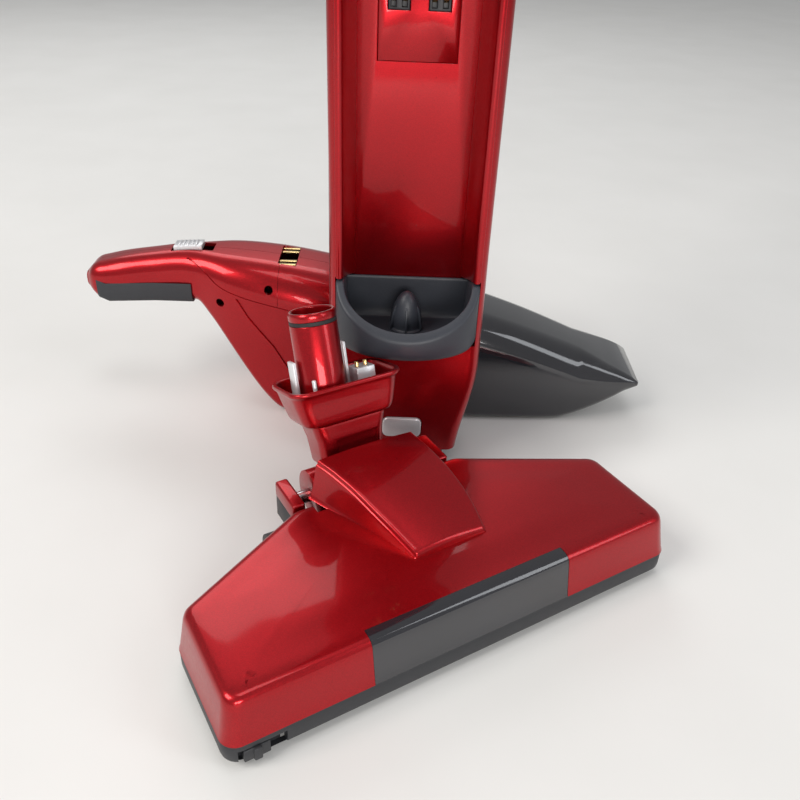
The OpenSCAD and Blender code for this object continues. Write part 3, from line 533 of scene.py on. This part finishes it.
def brick(name, centre, size, to_row):
    """Rectangular cutter: centre and full size in millimetres."""
    c, s = np.array(centre, float), np.array(size, float) / 2
    square = [(c[0] + a * s[0], c[1] + b * s[1]) for a, b in ((-1, -1), (1, -1), (1, 1), (-1, 1))]
    return prism(name, square, c[2] - s[2], c[2] + s[2], to_row)


def smooth(thing, angle=32.0):
    """Smooth shading that stops at edges sharper than the angle."""
    thing.data.shade_smooth()
    thing.data.set_sharp_from_angle(angle=math.radians(angle))
    return thing


def rounded(thing, mm, angle=30.0, steps=2):
    """Rounds every edge sharper than the angle."""
    edge = thing.modifiers.new("edge", "BEVEL")
    edge.width, edge.segments, edge.limit_method = mm * 0.001, steps, "ANGLE"
    edge.angle_limit, edge.harden_normals = math.radians(angle), False
    return smooth(baked(thing), 40)


def refined(node, mm=0.35, angle=30.0, finish=None, steps=2):
    """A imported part's copy with merged corners, rounded edges and smooth shading, which stands for the part."""
    copy = nodes[node].data.copy()
    copy.name = node + "_moulding"
    bm = bmesh.new()
    bm.from_mesh(copy)
    bmesh.ops.remove_doubles(bm, verts=bm.verts, dist=2e-5)
    bmesh.ops.dissolve_limit(bm, angle_limit=math.radians(1.0), verts=bm.verts, edges=bm.edges)
    bm.to_mesh(copy)
    bm.free()
    thing = bpy.data.objects.new(node + "_moulding", copy)
    rounded(thing, mm, angle, steps)
    return wear(thing, finish or SLOT_OF[node], nodes[node]["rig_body"], (node,))

# %% [markdown]
# ## The floor head
# The cover is one wide lacquered moulding: straight in front, cut back at the rear corners, with
# walls that lean in a little and a soft shoulder of about 4 mm. It is worked out as rings round
# its plan. The first rings climb the wall and turn over the shoulder, and the last ones run in
# over the slightly crowned top. The window is the same surface, cut out between two stations
# of the front edge, so that it lies flush, as the real lens does.

# %% Plan and surface of the head
HEAD_HW, SEAM, WINDOW_HW = 136.0, 17.0, 60.0
across = np.concatenate([np.linspace(-120, -WINDOW_HW, 14), np.linspace(-WINDOW_HW + 4, WINDOW_HW - 4, 29),
                         np.linspace(WINDOW_HW, 120, 14)])

def head_plan(inset):
    """Outline at one inset: front line with fixed stations, four rounded corners, slanted rear sides."""
    w, f, b, s = HEAD_HW - inset, -11 + inset, 101 - inset, 58 - inset * 0.6
    r, rear = max(9 - inset * 0.3, 2), 52 - inset * 0.4
    front = np.stack([across, np.full(len(across), f)], 1)
    side = [corners(w - r, f + r, r, 270, 360, 8)[0], corners(w - r, s - r * 0.6, r, 0, 62, 6)[0],
            corners(rear, b - 14, 14, 62, 90, 6)[0]]
    right = np.concatenate(side)
    middle = np.stack([np.linspace(rear, -rear, 16)[1:-1], np.full(14, b)], 1)
    return np.concatenate([front, right, middle, right[::-1] * [-1, 1]])

SHOULDER = [(0.0, SEAM), (0.6, 19), (1.6, 25), (2.6, 31), (3.3, 35.5), (3.8, 38.2), (4.4, 40.3), (5.4, 41.8),
            (6.8, 42.7),
            (8.6, 43.05), (10.4, 43.2), (12.5, 43.3)]

def head_rings(depth=0.0):
    """Rings of the whole cover, sunk by depth: wall, shoulder, then ten rings in to the middle line."""
    rows = [stacked(head_plan(i + depth)[None], [z - depth * (z > SEAM)])[0] for i, z in SHOULDER]
    last = rows[-1]
    spine = np.stack([np.clip(last[:, 0], -62, 62) * 0.95, np.full(len(last), 46.0)], 1)
    for t in np.linspace(0, 1, 15)[1:]:
        flat = last[:, :2] * (1 - t) + spine * t
        crown = np.clip(1 - (flat[:, 0] / 128) ** 2, 0, 1) * np.clip(1 - ((flat[:, 1] - 45) / 54) ** 2, 0, 1)
        ease = min(1.0, t / 0.5) ** 2 * (3 - 2 * min(1.0, t / 0.5))
        rows.append(np.column_stack([flat, last[:, 2] + 1.3 * crown * ease]))
    return np.array(rows)

rings = head_rings()
m, n = rings.shape[:2]
quads = grid_quads(m, n, False, True)
mid = in_head(rings).reshape(-1, 3)
local = rings.reshape(-1, 3)
centre = local[quads].mean(1)
in_window = (np.abs(centre[:, 0]) < WINDOW_HW) & (centre[:, 1] < 1.5) & (quads.max(1) < 12 * n)
cover = walled(solid("head_cover_shell", mid, quads[~in_window]), 2.3)
cut_away(cover, brick("arm_notch", (0, 118, 1.3), (106, 60, 60), in_head),
         brick("hood_notch", (-5, 118, 40), (76, 60, 60), in_head),
         *[brick("wheel_arch", (s * 63.5, 104, 17), (16, 40, 20), in_head) for s in (-1, 1)])
wear(smooth(cover, 40), "metallic_red", "floor_head", ("head_cover",))
lens_rings = head_rings(0.12) * [0.9965, 1, 1]
lens_piece = walled(solid("window_shell", in_head(lens_rings).reshape(-1, 3), quads[in_window]), 2.0)
wear(smooth(lens_piece, 50), "smoked_lens", "floor_head", ("window_lens",))
print("cover", len(cover.data.polygons), "window", len(lens_piece.data.polygons))

# %% [markdown]
# ## The base band, its seam and the hood
# Under the cover runs a matt black bumper band, set back a hair so that a dark seam shows. The
# hood over the neck's joint is a tongue with a crisp raised edge: each cross-section climbs a
# hollow side web, steps over a small ledge and crosses a slightly crowned top.

# %% Bumper band round the base
band_rows = [(1.2, 4.6), (0.3, 5.6), (0.0, 7.2), (0.0, 14.8), (0.5, 16.2), (1.6, 16.6), (3.4, 16.6)]
band = np.array([stacked(head_plan(i + 0.25)[None], [z])[0] for i, z in band_rows])
band_piece = solid("bumper_band", in_head(band).reshape(-1, 3), grid_quads(len(band_rows), n, False, True))
cut_away(walled(band_piece, 1.0), brick("band_gap", (0, 118, 10), (96, 60, 60), in_head),
         brick("latch_gap", (-118, -10, 8.6), (24, 8, 9.4), in_head))
wear(smooth(band_piece, 45), "black_plastic", "floor_head")

# %% The hood
v = np.concatenate([[29.4, 29.5, 29.7, 30.1, 30.7, 31.6, 32.8], np.linspace(34, 101.8, 36)])
rise = np.sqrt(np.clip(1 - (1 - np.clip((v - 29.4) / 1.9, 0, 1)) ** 2, 0, 1))
top = 43.2 + rise * (curve_at([(29, 47.3), (44, 53), (60, 58.5), (76, 63.4), (92, 66.8), (101.8, 67.8)],
                              v) - 43.2)
half = curve_at([(29, 21.5), (44, 24.8), (60, 27.4), (81, 29.1), (101.8, 30.6)], v)
foot = half + curve_at([(29, 0.9), (44, 1.8), (60, 3.2), (80, 5.0), (101.8, 6.6)], v)
skew = curve_at([(29, 8.2), (50, 6.2), (70, 2.6), (81, 0), (101.8, -5.5)], v)
t = np.linspace(0, 1, 9)
c = lambda a: np.asarray(a)[:, None]
web_x = c(foot) + (c(half + 1.1) - c(foot)) * t ** 0.7
web_z = 43.0 + (c(np.maximum(top - 3.0, 43.1)) - 43.0) * t ** 1.5
step = np.array([(1.0, -2.8), (0.25, -2.4), (0.1, -1.5), (-0.1, -0.8), (-0.6, -0.25), (-1.4, -0.05),
                 (-3.2, 0.0)])
lip_x = c(half) + step[:, 0]
lip_z = np.maximum(c(top) + step[:, 1] * c(rise), 43.1)
share = np.linspace(1, 0, 9)[1:]
top_x = c(half - 3.2) * share
top_z = c(top) + 1.1 * c(rise) * (1 - share ** 2)
half_x, half_z = np.hstack([web_x, lip_x, top_x]), np.hstack([web_z, lip_z, top_z])
sec_x, sec_z = np.hstack([half_x, -half_x[:, -2::-1]]), np.hstack([half_z, half_z[:, -2::-1]])
hood = np.dstack([sec_x + c(skew), np.repeat(c(v), sec_x.shape[1], 1), sec_z])
hood_piece = solid("hood_shell", in_head(hood).reshape(-1, 3), grid_quads(*hood.shape[:2]))
around_barrel = lambda p: in_head(np.stack([p[..., 2], 114 + p[..., 0], 34 + p[..., 1]], -1))
cut_away(walled(hood_piece, 2.2), turned("barrel_relief", [(15.6, -50), (15.6, 50)], around_barrel))
wear(smooth(hood_piece, 45), "metallic_red", "floor_head", ("hood_cover",))
for s in (-1, 1):
    cap = rounded(brick(f"arm_cap_{'left' if s < 0 else 'right'}", (s * 48.5, 114, 35.4), (8.0, 27.0, 10.6),
                        in_head), 1.6, 30, 4)
    wear(cap, "metallic_red", "floor_head")
print("hood", len(hood_piece.data.polygons))

# %% Hard parts of the head, with rounded edges
for name, mm in (("head_base", 0.4), ("toe_latch", 0.5), ("front_rollers", 0.6), ("rear_wheel_left", 0.6),
                 ("rear_wheel_right", 0.6),
                 ("barrel_pins", 0.3), ("pivot_barrel", 0.8), ("brush_core", 0.3), ("led_board", 0.15),
                 ("head_screws", 0.2)):
    refined(name, mm)

# %% [markdown]
# ## The neck
# The neck leans back from its pivot: a square yoke, a flared tray with a thin turned-out lip, and
# the air tube with its seal groove. All are rings stacked along the neck's own axis. The tray is
# one closed loft that goes up the outside, over the lip and down the inside, so its wall is
# real and no boolean is needed.

# %% Yoke, tray and tube
def stack(name, rows, to_row):
    """Rings of rounded rectangles: each row is (half width, half depth, radius, height)."""
    r = np.array(rows, float)
    return loft(name, stacked(rounded_ring(r[:, 0], -r[:, 1], r[:, 1], r[:, 2], r[:, 2], 9), r[:, 3]), to_row)

tray = stack("tray_bowl", [(26.2, 14.8, 6, 44.0), (27.4, 15.9, 7, 44.3), (28.4, 16.8, 7.5, 45.6),
                           (29.4, 17.3, 8, 48), (31.5, 18.4, 9, 55.5),
                           (33.2, 19.4, 10, 62.4), (33.9, 20, 10, 63.9), (34.7, 20.7, 10, 64.5),
                           (35, 21, 10, 65.2), (35, 21, 10, 66.2),
                           (34.7, 20.7, 10, 66.8), (34.1, 20.1, 9.6, 67), (33, 19, 9.2, 66.9),
                           (32.5, 18.5, 9, 66.2), (31.6, 17.8, 8.6, 63),
                           (29.6, 16.4, 7.5, 54), (27.8, 15.1, 7, 48.4), (26.6, 14.2, 6.6, 47.3),
                           (24.8, 12.6, 6, 47)], in_neck)
wear(smooth(tray, 50), "metallic_red", "neck", ("neck_tray",))
yoke = stack("yoke_block", [(18.6, 11.6, 5.6, 17), (19.7, 12.7, 6.6, 17.5), (20.1, 13.1, 7, 18.6),
                            (20.5, 13.5, 7, 26), (21, 14, 7, 33), (21.6, 14.2, 7, 35),
                            (23.2, 14.8, 7, 42), (23.6, 15, 7, 43.2), (23.0, 14.4, 6.4, 43.7)], in_neck)
cut_away(yoke, brick("yoke_window", (2, -15.2, 29), (26, 6, 9), in_neck))
rounded(yoke, 0.35, 50)
wear(yoke, "metallic_red", "neck", ("neck_yoke",))
tube_at = lambda p: in_neck(np.asarray(p) + [-9, 0, 0])
tube = turned("air_tube", [(11.5, 47.1), (14.0, 47.1), (14.3, 47.4), (14.3, 49.6), (14.1, 50.0), (13.8, 50.3),
                           (13.7, 51.0), (13.7, 100.4), (13.5, 100.8),
                           (12.7, 101), (12.7, 103.2), (13.5, 103.3), (13.7, 103.7), (13.7, 106.4),
                           (13.4, 107.4), (12.8, 108), (12.1, 108), (11.6, 107.5),
                           (11.5, 106.6), (11.5, 90), (11.5, 60)], tube_at)
walls = turned("tube_bore", [(11.48, 46), (11.48, 120)], tube_at)
cut_away(tube, walls)
wear(smooth(tube, 35), "metallic_red", "neck", ("neck_tube",))
for name, mm in (("connector_block", 0.5), ("guide_ribs", 0.5), ("connector_pins", 0.3)):
    refined(name, mm)
print("tray", len(tray.data.polygons), "tube", len(tube.data.polygons))

# %% [markdown]
# ## The standing body
# The body is a long shell in two halves: its section is a rounded rectangle whose width, depth
# and corner radii change with height, swelling at the docking cup and drawing in to the handle.
# Each half is a grid of sections, given a wall, and the bay's mouth is then cut through the
# front. A thin rounded bead is laid along the cut, because the real moulding has a rolled edge
# there and that line of light is what the eye follows.

# %% Sections of the body
HW = [(0, 37), (12, 37.5), (80, 48), (145, 47.5), (300, 48), (560, 45.5), (605, 42), (650, 32), (700, 23),
      (750, 18.5), (800, 17)]
FRONT = [(0, -22), (90, -22), (110, -24), (560, -24), (650, -22), (730, -18), (800, -16)]
BACK = [(0, 18), (90, 22), (145, 28), (560, 29), (650, 26), (730, 20), (800, 16)]
R_FRONT = [(0, 7), (560, 7), (650, 10), (800, 13)]
R_BACK = [(0, 14), (560, 18), (650, 18), (730, 15.5), (800, 13)]
heights = np.unique(np.concatenate([np.linspace(12, 150, 36), np.linspace(150, 540, 40),
                                    np.linspace(540, 800, 60)]))

def body_sections(z, inset=0.0):
    """Rounded rectangles at heights z, each size a smooth curve of height; inset shrinks them."""
    return rounded_ring(curve_at(HW, z) - inset, curve_at(FRONT, z) + inset, curve_at(BACK, z) - inset,
                        curve_at(R_FRONT, z) - inset * 0.5, curve_at(R_BACK, z) - inset * 0.5, 10)

def half_shell(name, front):
    """Front or back half of the sections, ended at the seam 0.15 mm from the middle plane."""
    s = stacked(body_sections(heights), heights)
    part = s[:, :22] if front else s[:, 22:]
    ends = part[:, [0, -1]].copy()
    ends[..., 1] = -0.15 if front else 0.15
    grid = np.concatenate([ends[:, :1], part, ends[:, 1:]], 1)
    return walled(solid(name, in_body(grid).reshape(-1, 3), grid_quads(*grid.shape[:2])), 2.4)

def bay_mouth(extra):
    """The bay's outline, x against z: straight sides and an arched top, grown by extra."""
    hw = 41 + extra
    a = corners(hw - 22, 530 + extra, 22, 0, 90, 12)[0]
    return np.concatenate([[(hw, 131)], a, a[::-1] * [-1, 1], [(-hw, 131)]])

FLAT_XZ = (0, 2, 1)
front = half_shell("front_shell", True)
button_hole = rounded_ring(13.5, 22, 38, 4.5, 4.5, 6)[0]
LAMP_RADIUS, LAMP_HEIGHT = 3, 690
lamp_turn = np.linspace(0, 6.283, 24, endpoint=False)
lamp_hole = np.stack([LAMP_RADIUS * np.cos(lamp_turn), LAMP_HEIGHT + LAMP_RADIUS * np.sin(lamp_turn)], 1)
cut_away(front, prism("mouth", bay_mouth(2.3), -40, 20, in_body, FLAT_XZ),
         brick("cup_seat", (0, -20, 116.5), (88, 60, 45), in_body),
         prism("button_window", button_hole, -40, -8, in_body, FLAT_XZ),
         prism("lamp_window", lamp_hole, -40, -8, in_body, FLAT_XZ))
wear(smooth(front, 35), "metallic_red", "stick", ("front_casing",))
back = half_shell("rear_shell", False)
BACK_SCREW_HEIGHTS = (60, 200, 420, 620)
for z in BACK_SCREW_HEIGHTS:
    y = float(curve_at(BACK, z))
    hole = turned("screw_seat", [(3.4, y - 1.1), (3.4, y + 4)], lambda p,
                  z=z: in_body(np.stack([p[..., 0], p[..., 2], z + p[..., 1]], -1)), 24)
    cut_away(back, hole)
wear(smooth(back, 35), "metallic_red", "stick", ("rear_casing",))
print("front", len(front.data.polygons), "rear", len(back.data.polygons))

# %% [markdown]
# ## The bay: sloped walls, panel and rolled edge
# Inside the mouth the walls slope back to a narrower panel. The wall is one grid: along the
# mouth's outline, and across from a rolled lip to the back edge.

# %% Bay walls
depth = np.array([(1.6, -23.2), (0.8, -23.9), (0.2, -23.9), (-0.4, -23.4), (-0.9, -22.2), (-2.2, -14),
                  (-3.6, -6), (-4.8, 1), (-5.6, 6), (-6.0, 9.5), (-6.0, 11.2)])
line = []
for shrink, y in depth:
    edge = bay_mouth(shrink)
    steps = np.linspace(0, 1, 30)[:, None]
    left = edge[0] + (edge[1] - edge[0]) * steps[:-1]
    right = edge[-2] + (edge[-1] - edge[-2]) * steps[1:]
    ring = np.concatenate([left, edge[1:-1], right])
    low = 138.6 - np.clip((y + 20) / 30, 0, 1) * 11.2
    ring[:, 1] = 552 - (552 - ring[:, 1]) * (552 - low) / (552 - 131)
    line.append(np.column_stack([ring[:, 0], np.full(len(ring), y), ring[:, 1]]))
walls = np.array(line)
bay_walls = walled(solid("bay_walls", in_body(walls).reshape(-1, 3), grid_quads(*walls.shape[:2])), 1.2, True)
wear(smooth(bay_walls, 40), "metallic_red", "stick", ("bay_liner",))
bead = bay_mouth(2.1)
side_z = np.linspace(139.5, 530, 60)[:, None]
path = np.concatenate([np.hstack([np.full_like(side_z, 43.1), side_z]), bead[2:-2],
                       np.hstack([np.full_like(side_z, -43.1), side_z[::-1]])])
path = np.column_stack([path[:, 0], np.full(len(path), -24.0), path[:, 1]])
circle = np.array([(0.55 * math.cos(a), 0.55 * math.sin(a)) for a in np.linspace(0, 2 * np.pi, 10,
    endpoint=False)])
edge_bead = carried("bay_edge_bead", in_body(path), circle)
wear(smooth(edge_bead, 60), "metallic_red", "stick")
for name, mm in (("bay_panel", 0.5), ("contact_plate", 0.5), ("contact_blocks", 0.3), ("contact_springs", 0.12),
                 ("side_trim", 0.3),
                 ("foot_plate", 0.6), ("release_button", 0.9), ("dock_latch", 0.5), ("power_slider", 0.5),
                 ("body_screws", 0.2)):
    refined(name, mm)

# %% Handle loop, its grip and the small parts at the top
refined("grip_loop", 4.0, 40, None, 4)
refined("grip_pad", 2.0, 40, None, 3)
refined("socket_sleeve", 0.4)
spring = refined("release_spring", 0.02)
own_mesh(spring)

# %% [markdown]
# ## The docking cup
# The cup is one closed skin: from the middle of its underside, up the bulging front, over a
# rounded sloping rim and down inside to the floor. Its plan is half an ellipse in front and
# straight at the back, and the rim's height follows the depth, low in front and high at the
# sides, as the hand unit's nose needs.

# %% Cup, cone and grey back plate
angle = np.linspace(0, np.pi, 61)
def cup_plan(hx, reach, y_back):
    """Half ellipse forward of the casing's face, then straight back sides."""
    bulge = np.stack([-hx * np.cos(angle), -24 - reach * np.sin(angle)], 1)
    ys = np.linspace(-24, y_back, 14)[1:]
    sides = np.stack([np.full(13, hx), ys], 1)
    behind = np.stack([np.linspace(hx, -hx, 20)[1:-1], np.full(18, y_back)], 1)
    return np.concatenate([bulge, sides, behind, sides[::-1] * [-1, 1]])

def rim_height(y):
    """Rim height by depth: a straight climb from the front to the casing, then a gentle fall to the plate."""
    return np.interp(y, [-53, -25, -20, 10], [112, 137, 137.5, 126.3])

def cup_row(hx, reach, y_back, z=None, sink=0.0):
    plan = cup_plan(hx, reach, y_back)
    return np.column_stack([plan, rim_height(plan[:, 1]) - sink if z is None else np.full(len(plan), float(z))])

cup = np.array([cup_row(20, 6, 5, 95.6), cup_row(36, 17, 9.8, 95.6), cup_row(39.5, 22.5, 9.8, 96.2),
                cup_row(41.6, 25.8, 9.8, 98.2), cup_row(42.9, 28, 9.8, 100.8),
                cup_row(43.5, 29, 9.8, 104), cup_row(43.5, 29, 9.8, 108), cup_row(43.5, 29, 9.8, None, 1.6),
                cup_row(43.3, 28.8, 9.7, None, 0.7), cup_row(42.7, 28.2, 9.4, None, 0.15),
                cup_row(41.8, 27.3, 9.0, None, 0.0), cup_row(39.8, 25.2, 8.0, None, 0.0),
                cup_row(39.0, 24.5, 7.5, None, 0.2), cup_row(38.5, 24.1, 7.1, None, 1.0),
                cup_row(38.4, 24, 7.0, None, 2.4),
                cup_row(37.8, 23.4, 7.0, 108), cup_row(37.2, 22.8, 7.0, 104.6), cup_row(35.4, 21, 6.4, 101.6),
                cup_row(32.5, 18, 5.5, 99.9), cup_row(29, 14.5, 4.5, 99.5), cup_row(10, 5, 2, 99.4)])
cup_piece = loft("cup_bowl", cup, in_body)
wear(smooth(cup_piece, 60), "grey_plastic", "stick", ("dock_cup",))
cone_at = lambda p: in_body(np.asarray(p) + [0, -8, 92])
climb = np.linspace(0, 80, 22)
cone = turned("intake_cone", [(8.8, 0), (8.8, 7.2), (11.4, 7.4), (11.2, 8.2), (9.9, 8.6)]
              + [(9.6 * math.cos(math.radians(a)), 9 + 23 * math.sin(math.radians(a))) for a in climb] + [(0.5,
                  32.1)], cone_at, 48)
wear(smooth(cone, 50), "grey_plastic", "stick", ("cup_cone",))
FIN_COUNT = 6
for i in range(FIN_COUNT):
    a = math.radians(30 + 360 // FIN_COUNT * i)
    turn = lambda p, a=a: cone_at(np.stack([p[..., 0] * math.cos(a) - p[..., 1] * math.sin(a),
                                            p[..., 0] * math.sin(a) + p[..., 1] * math.cos(a), p[..., 2]], -1))
    side = [(8.2, 8.4), (11.6, 8.4), (11.2, 12), (10.4, 17), (9.0, 22), (7.6, 24)]
    fin = rounded(prism(f"cone_fin_{i}", side, -0.6, 0.6, turn, (0, 2, 1)), 0.25)
    wear(fin, "grey_plastic", "stick")
print("cup", len(cup_piece.data.polygons))

# %% [markdown]
# ## The hand unit
# Seen from the side the unit is a wedge: a slim handle that grows out of a deep motor house, a
# ring, and the smoky dust cup that runs down to a slanted mouth. Every cross-section is a
# rounded rectangle whose width, underside, top and corners are smooth curves of the length,
# so one grid gives the whole case, and the two halves are its left and right columns.

# %% Sections of the case
CASE_HW = [(-228, 9), (-224, 13), (-214, 15.5), (-180, 16.5), (-150, 19), (-125, 29), (-95, 35), (-60, 37),
           (4, 37)]
CASE_LOW = [(-228, 84), (-224, 79), (-214, 76), (-180, 78.5), (-150, 80), (-140, 70), (-92, 1.5), (-84, 0),
            (4, 0)]
CASE_HIGH = [(-228, 96), (-224, 101), (-214, 105), (-180, 112), (-150, 115.5), (-110, 114), (-62, 107.5),
             (-30, 100), (4, 92)]
CASE_R = [(-228, 5), (-224, 8), (-214, 11), (-180, 13), (-150, 14), (-125, 18), (-95, 22), (-60, 24), (4, 24)]

def case_sections(x, inset=0.0):
    """Rings across the length at x: lower corners up to 8 mm, upper corners up to 24 mm."""
    h, a, b = curve_at(CASE_HW, x) - inset, np.maximum(curve_at(CASE_LOW, x) + inset, 0), curve_at(CASE_HIGH,
        x) - inset
    r = np.maximum(np.minimum(np.minimum(curve_at(CASE_R, x), (b - a) / 2 - 0.2), h - 0.2), 1)
    q = np.minimum(r, 8)
    ring = np.concatenate([corners(h - q, a + q, q, 270, 360, 8), corners(h - r, b - r, r, 0, 90, 12),
                           corners(-h + r, b - r, r, 90, 180, 12), corners(-h + q, a + q, q, 180, 270, 8)], 1)
    return np.dstack([np.repeat(np.asarray(x, float)[:, None], ring.shape[1], 1), ring[..., 0], ring[..., 1]])

lengths = np.unique(np.concatenate([np.linspace(-228, -214, 10), np.linspace(-214, -150, 24),
                                    np.linspace(-150, -80, 44), np.linspace(-80, 0, 24)]))

SCREW_SPOTS = ((-95, 99), (-130.6, 85), (-91, 23))

def case_half(name, far):
    """Columns of the near or far side, ended 0.15 mm from the middle plane, with a domed handle end."""
    s = case_sections(lengths)
    k = s.shape[1] // 2
    part = s[:, :k] if far else s[:, k:]
    ends = part[:, [0, -1]].copy()
    ends[..., 1] = 0.15 if far else -0.15
    grid = np.concatenate([ends[:, :1], part, ends[:, 1:]], 1)
    middle = grid[0].mean(0) * [1, 0, 1] + [0, ends[0, 0, 1], 0]
    dome = np.array([middle + (grid[0] - middle) * math.sin(a) - [2.4 * math.cos(a), 0,
        0] for a in np.linspace(0.05, 1.5, 6)])
    dome[..., 1] = np.where(far, np.maximum(dome[..., 1], 0.15), np.minimum(dome[..., 1], -0.15))
    grid = np.concatenate([dome, grid])
    return walled(solid(name, in_hand(grid).reshape(-1, 3), grid_quads(*grid.shape[:2])), 2.3)

def sunk(name, outline, depth):
    """Cutters for a panel or a line on both sides: the outline x against z, less the case shrunk by depth."""
    made = []
    for low, high in ((-60, -4), (4, 60)):
        tool = prism(name, outline, low, high, in_hand, FLAT_XZ)
        cut_away(tool, loft("case_core", case_sections(lengths, depth), in_hand))
        made.append(tool)
    return made

def ribbon(points, width):
    """Outline of a thin line along a smooth path: each point pushed both ways along its normal."""
    x = np.linspace(points[0][0], points[-1][0], 40)
    z = curve_at(points, x)
    ahead = np.stack([np.gradient(x), np.gradient(z)], 1)
    side = np.stack([-ahead[:, 1], ahead[:, 0]], 1) / np.linalg.norm(ahead, axis=1)[:, None] * width / 2
    line = np.stack([x, z], 1)
    return np.concatenate([line + side, (line - side)[::-1]])

PANEL = [(-119, 90.5), (-60, 79.0), (-53, 70), (-53, 30), (-61, 20), (-77, 27), (-93, 55), (-110, 75.5)]
CASE_SEAM = [(-154, 112), (-149, 110.5), (-140, 105), (-132.5, 98.6), (-120.5, 93.8), (-88, 87), (-55, 80.5)]
for name, far, part in (("hand_shell_far", True, "case_far"), ("hand_shell_near", False, "case_near")):
    shell = case_half(name, far)
    cutters = [brick("switch_slot", (-152, 0, 118), (30, 13, 20), in_hand),
               brick("pad_slot", (-84, 0, 114), (12.6, 31.6, 16), in_hand)]
    for x, z in SCREW_SPOTS:
        cutters.append(turned("screw_hole", [(3.0, -60), (3.0, -8)], lambda p, x=x,
                              z=z: in_hand(np.stack([x + p[..., 0], p[..., 2], z + p[..., 1]], -1)), 24))
    band = loft("seam_band", np.array([case_sections(np.array([x]), i)[0] for x,
                                       i in ((-89, -1), (-88.3, -1), (-88.3, 0.7), (-89, 0.7))]), in_hand, True)
    cut_away(band, brick("below", (-88.5, 0, 40), (10, 90, 94), in_hand))
    cut_away(shell, *cutters, band, *sunk("panel", PANEL, 1.1), *sunk("line", ribbon(CASE_SEAM, 0.8), 0.6))
    wear(smooth(shell, 38), "metallic_red", "hand_unit", (part,))
    print(name, len(shell.data.polygons))

# %% Ring between the case and the dust cup
def band_of(sections, xs, insets):
    """Closed band: rings at stations xs with their own insets, out over the outside and back inside."""
    return np.array([sections(np.array([x]), i)[0] for x, i in zip(xs, insets)])

ring_rows = band_of(case_sections, [0.4, 0.5, 0.9, 1.5, 2.2, 2.8, 3.4, 3.5, 3.4, 0.5],
                    [1.8, 0.5, 0.0, -0.25, -0.3, -0.25, 0.2, 0.9, 2.2, 2.2])
ring_piece = loft("case_band", ring_rows, in_hand, True)
wear(smooth(ring_piece, 60), "metallic_red", "hand_unit", ("case_ring",))

# %% [markdown]
# ## The smoky dust cup
# The cup continues the case's sections, falls away to the front and is cut by the slanted mouth.
# It is a thin shell of smoky clear plastic, so the pleated filter shows faintly behind it.

# %% Dust cup and its catch
CUP_HW = [(4, 37), (60, 36.5), (120, 34), (160, 31), (175, 27)]
CUP_LOW = [(4, 0), (114, 0), (124, 2), (170, 25.5), (175, 28.5)]
CUP_HIGH = [(4, 92), (30, 87), (60, 78.5), (90, 68.5), (120, 57), (150, 44.5), (170, 35.5), (175, 32)]

def cup_sections(x, inset=0.0):
    """As the case, with corners that never exceed 0.45 of the section's height."""
    h = curve_at(CUP_HW, x) - inset
    a = np.maximum(curve_at(CUP_LOW, x), 0) + inset
    b = np.maximum(curve_at(CUP_HIGH, x) - inset, a + 0.5)
    r, q = np.minimum(22, (b - a) * 0.45), np.minimum(7, (b - a) * 0.45)
    ring = np.concatenate([corners(h - q, a + q, q, 270, 360, 8), corners(h - r, b - r, r, 0, 90, 12),
                           corners(-h + r, b - r, r, 90, 180, 12), corners(-h + q, a + q, q, 180, 270, 8)], 1)
    return np.dstack([np.repeat(np.asarray(x, float)[:, None], ring.shape[1], 1), ring[..., 0], ring[..., 1]])

xs = np.concatenate([[4.0, 4.15, 4.6, 5.4], np.linspace(7, 118, 40), np.linspace(121, 175, 30)])
insets = np.concatenate([[1.6, 0.7, 0.15, 0.0], np.zeros(70)])
bowl_rows = band_of(cup_sections, xs, insets)
tip = np.array([bowl_rows[-1] * [0, f, 1] + [175 + 1.2 * math.sin(t), 0, 0] for t,
                f in ((0.5, 0.97), (1.0, 0.9), (1.5, 0.7))])
mid_z = bowl_rows[-1][:, 2].mean()
for k, f in enumerate((0.8, 0.5, 0.1)):
    tip[k][:, 2] = mid_z + (bowl_rows[-1][:, 2] - mid_z) * f
bowl = solid("smoky_bowl", in_hand(np.concatenate([bowl_rows, tip])).reshape(-1, 3),
             grid_quads(len(bowl_rows) + 3, bowl_rows.shape[1], False, True),
             [range((len(bowl_rows) + 2) * bowl_rows.shape[1], (len(bowl_rows) + 3) * bowl_rows.shape[1])])
BOWL_WALL = 2.2
walled(bowl, BOWL_WALL)
tilt = math.radians(26.5)
slant = lambda p: in_hand(np.stack([146 + p[..., 0] * math.cos(tilt) - p[..., 2] * math.sin(tilt), p[..., 1],
                                    13 + p[..., 0] * math.sin(tilt) + p[..., 2] * math.cos(tilt)], -1))
mouth = loft("mouth_cut", stacked(np.repeat(rounded_ring(22, -26, 26, 6, 6, 6), 2, 0), [-6, 6]), slant)
cut_away(bowl, mouth, brick("catch_slot", (14, 0, 90), (11, 15, 7), in_hand))
wear(smooth(bowl, 38), "smoked_lens", "dust_cup", ("dust_cup",))
for name, mm in (("cup_catch", 0.6), ("hand_switch", 0.4), ("hand_grip_pad", 0.8), ("charge_pads", 0.2),
                 ("fan_wheel", 0.2)):
    refined(name, mm)
print("bowl", len(bowl.data.polygons))
